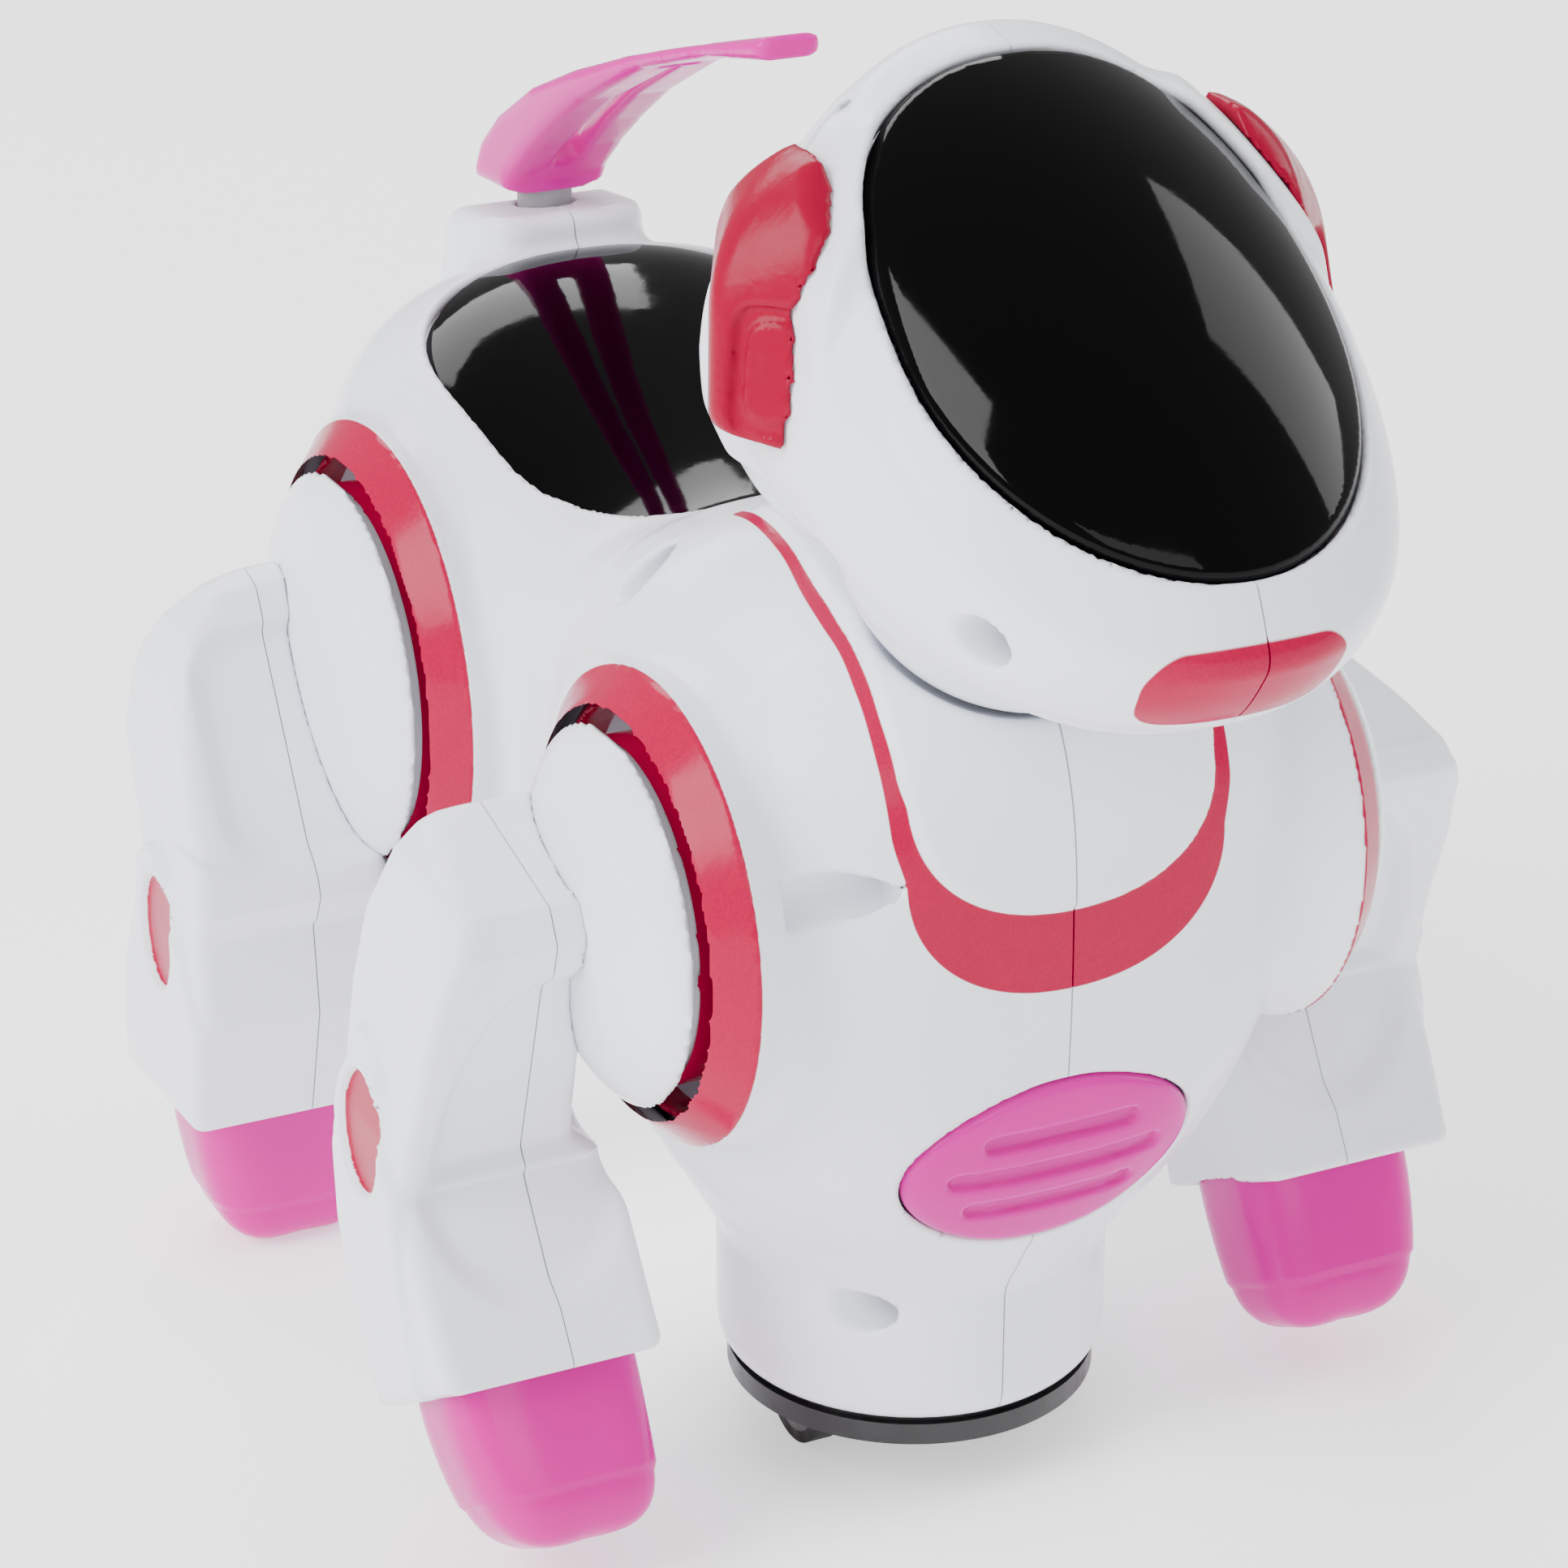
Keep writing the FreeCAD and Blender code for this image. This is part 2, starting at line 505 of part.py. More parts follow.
# ---- tail -------------------------------------------------------------------------------
peg = rod_z(4.0, 0, TAIL_Y, 132.0, 143.5).fuse(rod_z(6.5, 0, TAIL_Y, 130.0, 132.0))
save("tail_pin", peg)
TAIL_TOP = [(130, 143.5), (128.5, 149), (122, 156), (109, 162.5), (92, 168), (70, 174.5), (52, 178.5),
            (38, 181)]
TAIL_LOW = [(38, 178.2), (52, 175), (70, 170), (90, 162), (104, 153), (111, 145.5), (112, 142.2),
            (127, 142.2)]
leaf = prism_x(TAIL_TOP + TAIL_LOW, -10, 10)
plan = [Vector(-9, 150, 100), Vector(-9.5, 120, 100), Vector(-7.5, 80, 100), Vector(-4, 36, 100),
        Vector(4, 36, 100), Vector(7.5, 80, 100), Vector(9.5, 120, 100), Vector(9, 150, 100)]
leaf = leaf.common(prism(plan, Vector(0, 0, 100)))
slot_plan = [Vector(-3.6, 111, 130), Vector(-1.4, 54, 130), Vector(1.4, 54, 130), Vector(3.6, 111, 130)]
scoop_side = [(134, 146), (123, 147.5), (110, 156), (92, 164), (70, 171.2), (52, 176), (52, 185), (134, 185)]
scoop_plan = [Vector(v.x * 0.72, v.y, v.z) for v in plan]
scoop = prism_x(scoop_side, -6.5, 6.5).common(prism(scoop_plan, Vector(0, 0, 100)))
leaf = leaf.cut(prism(slot_plan, Vector(0, 0, 60))).cut(scoop)
save("tail", leaf.cut(rod_z(4.0, 0, TAIL_Y, 120, 143.5)))

# ---- legs -------------------------------------------------------------------------------
# side outlines (y, z) and one front outline (x, z), for the left legs
FRONT_LEG = [(7, 97), (5.3, 98.4), (-16.3, 92.8), (-18.5, 88.5), (-7, 52.6), (-21.1, 32.2), (4, 17),
             (9, 27), (12.5, 42), (14, 54), (12, 66), (9.5, 82)]
REAR_LEG = [(94, 97.5), (91.4, 101.2), (86.2, 99.3), (78.2, 85.6), (67.9, 67.6), (65.8, 60.7),
            (68.9, 54.8), (67.8, 42.1), (73, 24.2), (105, 21.5), (99, 41), (92.5, 53), (91, 60), (96, 68),
            (100.5, 77), (99, 90)]
LEG_FRONT = [(48, 102), (58, 101.2), (64, 99), (69, 94), (72.5, 86), (74, 76), (74.6, 66), (76, 60),
             (76.2, 42), (75, 28), (73.5, 14), (45, 14), (45.3, 46), (47.4, 56), (48, 68)]
FOOT_HALF_X = (45.6, 72.6)
FOOT_HALF_Y = 11.8
SHIN_TILT = {"front": 31.0, "rear": 0.0}
FOOT_TOP = {"front": Vector(0, -8.0, 24.4), "rear": Vector(0, 88.0, 22.9)}
FOOT_LENGTH = {"front": 21.5, "rear": 22.9}
REST_SWING = {"front_left": 4.0}       # the left front leg stands a little further back on its hub
LEG_SCREWS = {"front": [(4.0, 62.0), (1.0, 38.0)], "rear": [(82.5, 61.0), (84.0, 38.0)]}


def foot_section(which, distance, narrow):
    """The foot's outline at a distance down from the end of the shin."""
    tilt = math.radians(SHIN_TILT[which])
    back = Vector(0, math.cos(tilt), -math.sin(tilt))
    centre = FOOT_TOP[which] + foot_down(which) * distance + X_AXIS * sum(FOOT_HALF_X) / 2
    half_x = (FOOT_HALF_X[1] - FOOT_HALF_X[0]) / 2 - narrow
    half_y = FOOT_HALF_Y - narrow
    return super_wire(lambda a, b: centre + X_AXIS * a + back * b, half_x, half_y, half_y, 3.5, 3.5)


def foot_down(which):
    tilt = math.radians(SHIN_TILT[which])
    return Vector(0, -math.sin(tilt), -math.cos(tilt))


def foot(which):
    """A rounded cup below the shin, with a spigot that sits inside the shells."""
    wires = []
    for level, narrow in ((-3.0, 0.6), (0.0, 0.4), (0.45, 0.8), (0.75, 1.6), (0.92, 3.2), (1.0, 5.5)):
        distance = level if level < 0 else level * FOOT_LENGTH[which]
        wires.append(foot_section(which, distance, narrow))
    return Part.makeLoft(wires, True, False)


def foot_opening(which):
    """The hole in the end of the shin that takes the foot's spigot."""
    return upright(Part.Face(foot_section(which, -3.0, 0.35)).extrude(foot_down(which) * 8))


def leg_block(side, inset):
    """The leg as one solid, or the space inside it when its faces move inwards."""
    if inset == 0:
        return prism_x(side, 40, 90).common(prism_y(LEG_FRONT, -40, 130))
    return prism_x(shrink(side, inset), 40, 90).common(prism_y(shrink(LEG_FRONT, inset), -40, 130))


def leg(which, pivot_y, ring_r):
    side = FRONT_LEG if which == "front" else REAR_LEG
    solid = leg_block(side, 0)
    inside = leg_block(side, 1.0)
    room = leg_block(side, 2.0)
    shells = solid.cut(room)
    # the hub: a shaft through the body's socket with a domed disc outside it
    dome_r = ring_r - 6.7
    profile = [(36.6, 0), (36.6, dome_r), (44.0, dome_r), (47.5, dome_r * 0.95), (50.0, dome_r * 0.85),
               (52.0, dome_r * 0.7), (53.2, dome_r * 0.5), (53.2, 0)]
    disc = turned_x(profile, pivot_y, PIVOT_Z).cut(rod_x(dome_r - 2.2, 30, 46.0, pivot_y, PIVOT_Z))
    hub = disc.fuse(rod_x(3.0, 27.0, 53.2, pivot_y, PIVOT_Z)).cut(rod_x(1.2, 20, 33, pivot_y, PIVOT_Z))
    # the crank on the shaft's inner end, with the pin that takes the link
    crank = rod_x(3.6, 24.4, 27.0, pivot_y, PIVOT_Z)
    crank = crank.fuse(rod_x(3.2, 24.4, 27.0, pivot_y, PIVOT_Z - CRANK_ARM))
    crank = crank.fuse(box(24.4, 27.0, pivot_y - 2.2, pivot_y + 2.2, PIVOT_Z - CRANK_ARM, PIVOT_Z))
    crank = crank.fuse(rod_x(1.18, 27.0, 32.5, pivot_y, PIVOT_Z))
    crank = crank.fuse(rod_x(1.5, 27.0, 30.6, pivot_y, PIVOT_Z - CRANK_ARM))
    screws = []
    for y, z in LEG_SCREWS[which]:
        shells = shells.fuse(rod_x(4.0, 44.0, 82.0, y, z).common(inside))
        shells = shells.cut(rod_x(SCREW_R, 50, 68, y, z)).cut(rod_x(SCREW_HEAD_R + 0.3, 40, 51, y, z))
        screws.append(rod_x(SCREW_HEAD_R, 49.2, 51, y, z).fuse(rod_x(SCREW_R - 0.02, 51, 66, y, z)))
    shells = shells.cut(turned_x(profile, pivot_y, PIVOT_Z)).cut(foot_opening(which))
    outer_half = shells.common(box(LEG_SEAM_X, 95, -60, 140, 0, 120))
    inner_half = shells.common(box(40, LEG_SEAM_X, -60, 140, 0, 120))
    return {"outer": outer_half, "inner": inner_half, "hub": hub, "crank": crank, "foot": foot(which),
            "screws": Part.makeCompound(screws)}


for which, pivot_y, ring_r in (("front", FRONT_Y, FRONT_RING_R), ("rear", REAR_Y, REAR_RING_R)):
    for piece, shape in leg(which, pivot_y, ring_r).items():
        for side in ("left", "right"):
            placed = shape.copy() if side == "left" else mirrored(shape)
            swing = REST_SWING.get(which + "_" + side, 0)
            if swing and piece not in ("hub", "crank"):
                placed.rotate(Vector(0, pivot_y, PIVOT_Z), X_AXIS, swing)
            save("leg_" + piece + "_" + which + "_" + side, placed)

# links that keep the front and rear legs of one side in step
link = box(27.3, 29.8, FRONT_Y, REAR_Y, PIVOT_Z - CRANK_ARM - 2.0, PIVOT_Z - CRANK_ARM + 2.0)
for pivot_y in (FRONT_Y, REAR_Y):
    link = link.fuse(rod_x(3.0, 27.3, 29.8, pivot_y, PIVOT_Z - CRANK_ARM))
for pivot_y in (FRONT_Y, REAR_Y):
    link = link.cut(rod_x(1.6, 27.0, 31.0, pivot_y, PIVOT_Z - CRANK_ARM))
save("leg_link_left", link)
save("leg_link_right", mirrored(link))
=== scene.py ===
import json
import math
from functools import partial

import bmesh
import bpy
import numpy as np
from mathutils import Matrix, Vector


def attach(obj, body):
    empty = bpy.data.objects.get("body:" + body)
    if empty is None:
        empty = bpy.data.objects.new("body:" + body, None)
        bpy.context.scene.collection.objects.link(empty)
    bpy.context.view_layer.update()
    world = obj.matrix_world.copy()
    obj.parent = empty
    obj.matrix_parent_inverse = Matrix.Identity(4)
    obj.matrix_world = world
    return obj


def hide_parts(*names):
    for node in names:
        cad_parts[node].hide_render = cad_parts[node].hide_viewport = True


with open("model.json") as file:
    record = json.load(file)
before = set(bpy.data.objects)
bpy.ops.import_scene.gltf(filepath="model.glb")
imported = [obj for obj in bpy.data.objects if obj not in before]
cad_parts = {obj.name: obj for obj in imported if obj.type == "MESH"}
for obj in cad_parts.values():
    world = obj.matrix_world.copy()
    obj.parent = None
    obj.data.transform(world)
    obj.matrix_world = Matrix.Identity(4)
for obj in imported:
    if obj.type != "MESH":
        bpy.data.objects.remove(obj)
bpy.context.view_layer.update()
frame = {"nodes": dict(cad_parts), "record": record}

# The dog faces -Y, its left side is +X, and the pillar under its chest is the Z axis.
# Shapes are worked out in millimetres as signed distances, and turned into metre meshes.
MM = 0.001

# ---- driving sizes ------------------------------------------------------------------------
FINE = 0.7           # sampling step of the large shells
WALL = 2.2           # coarse steps need a thicker wall to stay closed
LEG_WALL = 2.8
SEAM = 0.12                                 # half the gap between two moulded halves
PIVOT_Z = 87.5
FRONT_Y = -11.0
REAR_Y = 81.0
FRONT_RING_R = 30.0
REAR_RING_R = 33.5
LEG_SEAM_X = 57.8
PILLAR_BOTTOM = 12.0
NECK = (0.0, -29.0, 138.0)
NECK_R = 24.0
VISOR_TOP = (0.0, -22.0, 191.0)
VISOR_SLOPE = math.radians(39.7)
TAIL_Y = 118.0
SCREW_POST_R = 4.2
SCREW_BORE_R = 3.0
SIDES = ((1, "left"), (-1, "right"))
RINGS = ((FRONT_Y, FRONT_RING_R), (REAR_Y, REAR_RING_R))


# ---- distance helpers -------------------------------------------------------------------
def blend_min(a, b, k):
    h = np.clip(0.5 + 0.5 * (b - a) / k, 0, 1)
    return b + (a - b) * h - k * h * (1 - h)


def blend_max(a, b, k):
    return -blend_min(-a, -b, k)


def ramp(value, low, high):
    """0 below low, 1 above high, smooth between."""
    t = np.clip((value - low) / (high - low), 0, 1)
    return t * t * (3 - 2 * t)


def curve(rows, column):
    """A smooth curve, without overshoot, through one column of a table of sections."""
    places = np.array([row[0] for row in rows], float)
    values = np.array([row[column] for row in rows], float)
    steps = np.diff(places)
    rises = np.diff(values) / steps
    slopes = np.zeros(len(rows))
    slopes[0], slopes[-1] = rises[0], rises[-1]
    for i in range(1, len(rows) - 1):
        if rises[i - 1] * rises[i] > 0:
            slopes[i] = 2 * rises[i - 1] * rises[i] / (rises[i - 1] + rises[i])

    def at(place):
        p = np.clip(place, places[0], places[-1])
        i = np.clip(np.searchsorted(places, p) - 1, 0, len(steps) - 1)
        t = (p - places[i]) / steps[i]
        a = (1 + 2 * t) * (1 - t) ** 2 * values[i] + t * t * (3 - 2 * t) * values[i + 1]
        return a + steps[i] * (t * (1 - t) ** 2 * slopes[i] - t * t * (1 - t) * slopes[i + 1])
    return at


def egg(u, v, half_u, half_v, power):
    """Distance to a squared ellipse."""
    total = (np.abs(u) / half_u) ** power + (np.abs(v) / half_v) ** power
    ratio = np.maximum(total, 1e-9) ** (1 / power)
    return (1 - 1 / ratio) * np.sqrt(u * u + v * v) - 1e-6


def outline(points, u, v):
    """Signed distance in a plane to a closed outline of straight runs."""
    best = None
    inside = None
    for i in range(len(points)):
        (u0, v0), (u1, v1) = points[i - 1], points[i]
        du, dv = u1 - u0, v1 - v0
        t = np.clip(((u - u0) * du + (v - v0) * dv) / (du * du + dv * dv), 0, 1)
        away = (u - u0 - t * du) ** 2 + (v - v0 - t * dv) ** 2
        best = away if best is None else np.minimum(best, away)
        crosses = (v0 <= v) != (v1 <= v)
        side = u < u0 + (v - v0) * (du / dv if dv else 0.0)
        flips = crosses & side
        inside = flips if inside is None else inside ^ flips
    return np.where(inside, -1.0, 1.0) * np.sqrt(best)


def shrink(points, amount):
    """An outline with every side moved inwards by an amount."""
    count = len(points)
    area = sum(points[i - 1][0] * points[i][1] - points[i][0] * points[i - 1][1] for i in range(count))
    turn = math.copysign(1, area)
    sides = []
    for i in range(count):
        (a0, b0), (a1, b1) = points[i - 1], points[i]
        length = math.hypot(a1 - a0, b1 - b0)
        normal = (-(b1 - b0) / length * turn, (a1 - a0) / length * turn)
        sides.append((normal, normal[0] * a0 + normal[1] * b0 + amount))
    corners = []
    for i in range(count):
        (n0, d0), (n1, d1) = sides[i], sides[(i + 1) % count]
        cross = n0[0] * n1[1] - n0[1] * n1[0]
        corners.append(((d0 * n1[1] - d1 * n0[1]) / cross, (n0[0] * d1 - n1[0] * d0) / cross))
    return corners


def rounded(points, radius, u, v):
    """Distance to an outline whose outer corners are rounded."""
    return outline(shrink(points, radius), u, v) - radius


def pillar(u, v, u0, v0):
    """Distance from the axis of a round pillar."""
    return np.sqrt((u - u0) ** 2 + (v - v0) ** 2)


def plane(u, v, u0, v0, nu, nv):
    """Distance in front of a line through (u0, v0) with the outward direction (nu, nv)."""
    return ((u - u0) * nu + (v - v0) * nv) / math.hypot(nu, nv)


# ---- from distances to meshes -------------------------------------------------------------
CORNERS = [(i, j, k) for i in (0, 1) for j in (0, 1) for k in (0, 1)]
EDGES = [(a, b) for a in CORNERS for b in CORNERS
         if sum(b) - sum(a) == 1 and all(q >= p for p, q in zip(a, b))]
SETTLE_ROUNDS = 3


def surface(shape, low, high, step):
    """Vertices and four-sided faces of the zero surface of a distance function."""
    axes = [np.arange(a, b + step, step) for a, b in zip(low, high)]
    x, y, z = np.meshgrid(*axes, indexing="ij", sparse=True)
    field = np.broadcast_to(shape(x, y, z), tuple(len(a) for a in axes)).copy()
    inside = field < 0
    count = np.zeros(tuple(n - 1 for n in field.shape), np.int8)
    size = count.shape
    for i, j, k in CORNERS:
        count += inside[i:i + size[0], j:j + size[1], k:k + size[2]]
    active = (count > 0) & (count < 8)
    cells = np.argwhere(active)
    index = np.full(size, -1)
    index[active] = np.arange(len(cells))
    total = np.zeros((len(cells), 3))
    hits = np.zeros(len(cells))
    for a, b in EDGES:
        fa = field[tuple((cells + a).T)]
        fb = field[tuple((cells + b).T)]
        cut = (fa < 0) != (fb < 0)
        t = np.where(cut, fa / np.where(cut, fa - fb, 1), 0)
        total[cut] += (np.array(a) + t[:, None] * (np.array(b) - np.array(a)))[cut]
        hits += cut
    points = np.array(low) + step * (cells + total / hits[:, None])
    faces = []
    for axis in range(3):
        near = [slice(1, -1)] * 3
        far = [slice(1, -1)] * 3
        near[axis], far[axis] = slice(0, -1), slice(1, None)
        first, second = inside[tuple(near)], inside[tuple(far)]
        place = np.argwhere(first != second)
        place += np.array([0 if d == axis else 1 for d in range(3)])
        out = first[first != second]
        d1, d2 = (axis + 1) % 3, (axis + 2) % 3
        ring = []
        for s1, s2 in ((1, 1), (0, 1), (0, 0), (1, 0)):
            cell = place.copy()
            cell[:, d1] -= s1
            cell[:, d2] -= s2
            ring.append(index[tuple(cell.T)])
        quads = np.stack(ring, 1)
        quads[~out] = quads[~out][:, ::-1]
        faces.append(quads)
    return points, np.concatenate(faces)


def settle(shape, points, faces, step):
    """Evens out the vertices along the surface and puts them back on it."""
    probe = 0.05
    starts = faces.ravel()
    ends = np.roll(faces, -1, axis=1).ravel()
    links = np.zeros(len(points))
    np.add.at(links, starts, 1)
    for turn in range(SETTLE_ROUNDS + 1):
        if turn:
            mean = np.stack([np.bincount(starts, points[ends, c], len(points)) for c in range(3)], 1)
            mean /= np.maximum(links, 1)[:, None]
            points = points + 0.5 * (mean - points)
        for _ in range(2):
            value = shape(*points.T)
            slope = np.stack([shape(*(points + probe * np.eye(3)[c]).T) - value for c in range(3)], 1) / probe
            steep = np.maximum((slope ** 2).sum(1), 0.05)
            move = -(value / steep)[:, None] * slope
            length = np.linalg.norm(move, axis=1, keepdims=True)
            points = points + move * np.minimum(1, 0.5 * step / np.maximum(length, 1e-9))
    return points


def mesh_object(name, points, faces):
    mesh = bpy.data.meshes.new(name)
    mesh.from_pydata((points * MM).tolist(), [], faces.tolist())
    mesh.validate()
    mesh.shade_smooth()
    piece = bpy.data.objects.new(name, mesh)
    bpy.context.scene.collection.objects.link(piece)
    return piece


def trim(piece, where, direction):
    """Cuts a closed mesh with a plane, keeps the side it points to and closes the cut with a flat face."""
    mesh = bmesh.new()
    mesh.from_mesh(piece.data)
    everything = mesh.verts[:] + mesh.edges[:] + mesh.faces[:]
    cut = bmesh.ops.bisect_plane(mesh, geom=everything, plane_co=Vector(where) * MM, plane_no=direction,
                                 dist=1e-7, clear_inner=True)
    rim = [e for e in cut["geom_cut"] if isinstance(e, bmesh.types.BMEdge)]
    cap = bmesh.ops.triangle_fill(mesh, edges=rim, use_beauty=True, normal=[-c for c in direction])
    for part in cap["geom"]:
        if isinstance(part, bmesh.types.BMFace):
            part.smooth = False
    for edge in rim:
        if edge.is_valid:
            edge.smooth = False
    mesh.to_mesh(piece.data)
    mesh.free()


def model(name, shape, low, high, step):
    """A new object with the zero surface of a distance function, within a box in millimetres."""
    points, faces = surface(shape, low, high, step)
    return mesh_object(name, settle(shape, points, faces, step), faces)


def paint_marks(piece, mark):
    """Stores on each vertex its distance in mm from the edge of the painted area."""
    points = np.empty(len(piece.data.vertices) * 3)
    piece.data.vertices.foreach_get("co", points)
    x, y, z = points.reshape(-1, 3).T / MM
    layer = piece.data.attributes.new("paint", "FLOAT", "POINT")
    layer.data.foreach_set("value", np.asarray(mark(x, y, z), float))


def mirrored(piece, name):
    """A copy of a left piece for the right side."""
    copy = piece.copy()
    copy.data = piece.data.copy()
    copy.name = name
    bpy.context.scene.collection.objects.link(copy)
    copy.data.transform(Matrix.Scale(-1, 4, (1, 0, 0)))
    copy.data.flip_normals()
    return copy


def neck_ball(x, y, z):
    return np.sqrt((x - NECK[0]) ** 2 + (y - NECK[1]) ** 2 + (z - NECK[2]) ** 2) - NECK_R


# ---- body --------------------------------------------------------------------------------
# chest sections: height, half width, half depth, squareness
CHEST = [(12, 26, 26, 2.0), (20, 26, 26, 2.0), (30, 26, 26, 2.0), (37, 29, 29.5, 2.1), (45, 33.5, 34.5, 2.3),
         (56, 38, 38.6, 2.7), (68, 40.5, 40.6, 3.2), (80, 41, 41, 3.6), (92, 41, 40.8, 3.6)]
CHEST_SHOULDER = 88.0          # the chest closes like an egg above this height
CHEST_TOP = 124.0
# trunk sections: y, half width, bottom, top, squareness
TRUNK = [(-28, 26, 60, 112, 2.4), (-10, 40, 49, 121, 2.8), (8, 41, 47, 127.5, 3.2),
         (22, 38, 50, 123.5, 3.4), (38, 36, 51.5, 118, 3.6), (55, 38, 51.5, 121.5, 3.7),
         (75, 42, 51.5, 129, 3.4), (90, 43, 52.5, 134, 2.9), (127, 43, 66, 141, 2.4)]
TRUNK_RUMP = 90.0
TRUNK_END = 127.5
RING_EDGE = 41.5               # |x| of a ring's widest edge
RING_FACE = 46.9
RING_SLOPE = (4.9, 5.7)        # the painted band runs in by 4.9 over 5.7
SOCKET_INSET = 8.2             # from a ring's widest edge in to the socket's wall
SOCKET_FLOOR = 36.1
CUP_INSET = 4.2                # the solid cup round each socket
CUP_BACK = 33.8
AXLE_HOLE_R = 3.1
DISC_INSET = 5.7               # from a ring's widest edge in to the rim of the leg's disc
DISC_X = 46.0                  # |x| where the disc's dome starts
DISC_RISE = 8.2
DISC_CLEARANCE = 0.4
TRAY_OPENING = (28.6, 68.3, 24.6, 70)        # half width, middle y, half length, top
SWITCH_OPENING = (4.2, 33.0, 5.2, 60)
TAIL_HOLE_R = 4.3
PILLAR_BORE_R = 23.8
# screw posts: y, z and the |x| range of the counterbore on the right side
BODY_SCREWS = [(-18.8, 29.0, 7, 60), (-35.5, 96.5, 22, 36), (13.0, 121.0, 7, 60), (110.0, 98.0, 7, 60),
               (37.0, 66.5, 7, 60), (14.0, 60.0, 7, 60)]
LENS = (-37.8, 55.2)
LENS_DIR = (-0.967, -0.256)
LENS_HALF = (20.0, 12.9)
LENS_GAP = 0.25
LENS_GROOVES = [(5.6, 9.5), (0.2, 13.5), (-5.2, 10.5)]      # height in the lens and half length

chest_wide, chest_deep, chest_power = (curve(CHEST, c) for c in (1, 2, 3))
trunk_wide, trunk_low, trunk_high, trunk_power = (curve(TRUNK, c) for c in (1, 2, 3, 4))


def chest(x, y, z):
    lift = np.maximum(z - CHEST_SHOULDER, 0) / (CHEST_TOP - CHEST_SHOULDER)
    power = chest_power(z)
    total = (np.abs(x) / chest_wide(z)) ** power + (np.abs(y) / chest_deep(z)) ** power + lift ** 2.5
    ratio = np.maximum(total, 1e-9) ** (1 / power)
    reach = np.sqrt(x * x + y * y + np.maximum(z - CHEST_SHOULDER, 0) ** 2)
    return (1 - 1 / ratio) * reach


def trunk(x, y, z):
    low, high = trunk_low(y), trunk_high(y)
    middle, half = (low + high) / 2, (high - low) / 2
    past_rump = np.maximum(y - TRUNK_RUMP, 0)
    past_chest = np.maximum(-8 - y, 0)
    back = past_rump / (TRUNK_END - TRUNK_RUMP)
    front = past_chest / 24
    power = trunk_power(y)
    total = (np.abs(x) / trunk_wide(y)) ** power + (np.abs(z - middle) / half) ** power
    total = total + back ** 2.3 + front ** 2.3
    ratio = np.maximum(total, 1e-9) ** (1 / power)
    reach = np.sqrt(x * x + (z - middle) ** 2 + past_rump ** 2 + past_chest ** 2)
    return (1 - 1 / ratio) * reach


def from_pivot(y, z, pivot_y):
    return pillar(y, z, pivot_y, PIVOT_Z)


def body_outside(x, y, z):
    ax = np.abs(x)
    d = blend_min(chest(ax, y, z), trunk(ax, y, z), 9)
    for pivot_y, ring_r in RINGS:
        rho = from_pivot(y, z, pivot_y)
        cone = plane(rho, ax, ring_r, RING_EDGE, RING_SLOPE[1], RING_SLOPE[0])
        back = plane(rho, ax, ring_r, RING_EDGE, 1, -0.8)
        ring = blend_max(cone, ax - RING_FACE, 1.2)
        ring = np.maximum(ring, back)
        d = blend_min(d, ring, 6)
    boss = blend_max(plane(y, z, 115, 139.3, 0.1, 1), plane(y, z, 106.7, 134, -1, 0.06), 3)
    boss = blend_max(boss, plane(y, z, 125.5, 137, 1, 0.35), 3)
    boss = blend_max(boss, ax - 13.2, 3)
    boss = blend_max(boss, plane(ax, y, 11, 108, 1, -0.8), 3)
    boss = np.maximum(boss, 108 - z)
    d = blend_min(d, boss, 2.5)
    return blend_max(d, PILLAR_BOTTOM - z, 5.0)


# painted collar, seen from the front: height and |x| of its outer and inner edges
COLLAR_OUTER = [(97.5, 21.8), (104, 23.2), (112, 23.3), (118, 22.8), (123, 21), (126.5, 19.4), (150, 19.4)]
COLLAR_INNER = [(106.5, 20.9), (110, 21.5), (115, 21.5), (120, 20.7), (124, 18.8), (127, 17.8), (150, 17.8)]
outer_x, inner_x = curve(COLLAR_OUTER, 1), curve(COLLAR_INNER, 1)


def collar_side(ax, z, edge, middle, half, drop):
    """Distance outside one edge of the collar: a half oval below, a side line above."""
    low = egg(ax, z - middle, half, drop, 2.15)
    return np.where(z < middle, low, ax - edge(z))


def bib_edge(ax, z):
    return collar_side(ax, z, inner_x, *COLLAR_INNER[0], 15.5)


def collar(x, y, z):
    """Negative on the painted collar round the bib."""
    ax = np.abs(x)
    inner = bib_edge(ax, z)
    outer = collar_side(ax, z, outer_x, *COLLAR_OUTER[0], 16.8)
    return np.maximum(np.maximum(outer, -inner), y - 14)


def body_skin(x, y, z):
    """The outside of the body with its raised bib, before it is hollowed and cut."""
    ax = np.abs(x)
    d = body_outside(x, y, z)
    raised = ramp(-bib_edge(ax, z), -0.1, 1.2) * ramp(14 - y, 0, 4)
    return d - 0.7 * raised


def lens_frame(y, z):
    """Height above and distance in front of the middle of the chest lens."""
    dy, dz = y - LENS[0], z - LENS[1]
    return dy * LENS_DIR[1] - dz * LENS_DIR[0], dy * LENS_DIR[0] + dz * LENS_DIR[1]


def lens(x, y, z):
    up, out = lens_frame(y, z)
    skin = body_outside(x, y, z) - 0.5
    d = blend_max(np.maximum(skin, -skin - 2.6), egg(x, up, *LENS_HALF, 2.0), 1.6)
    for offset, half in LENS_GROOVES:
        run = np.sqrt(np.maximum(np.abs(x) - half, 0) ** 2 + (up - offset) ** 2)
        d = blend_max(d, -np.maximum(run - 1.15, -1.0 - skin), 0.8)
    return np.maximum(d, -8 - out)


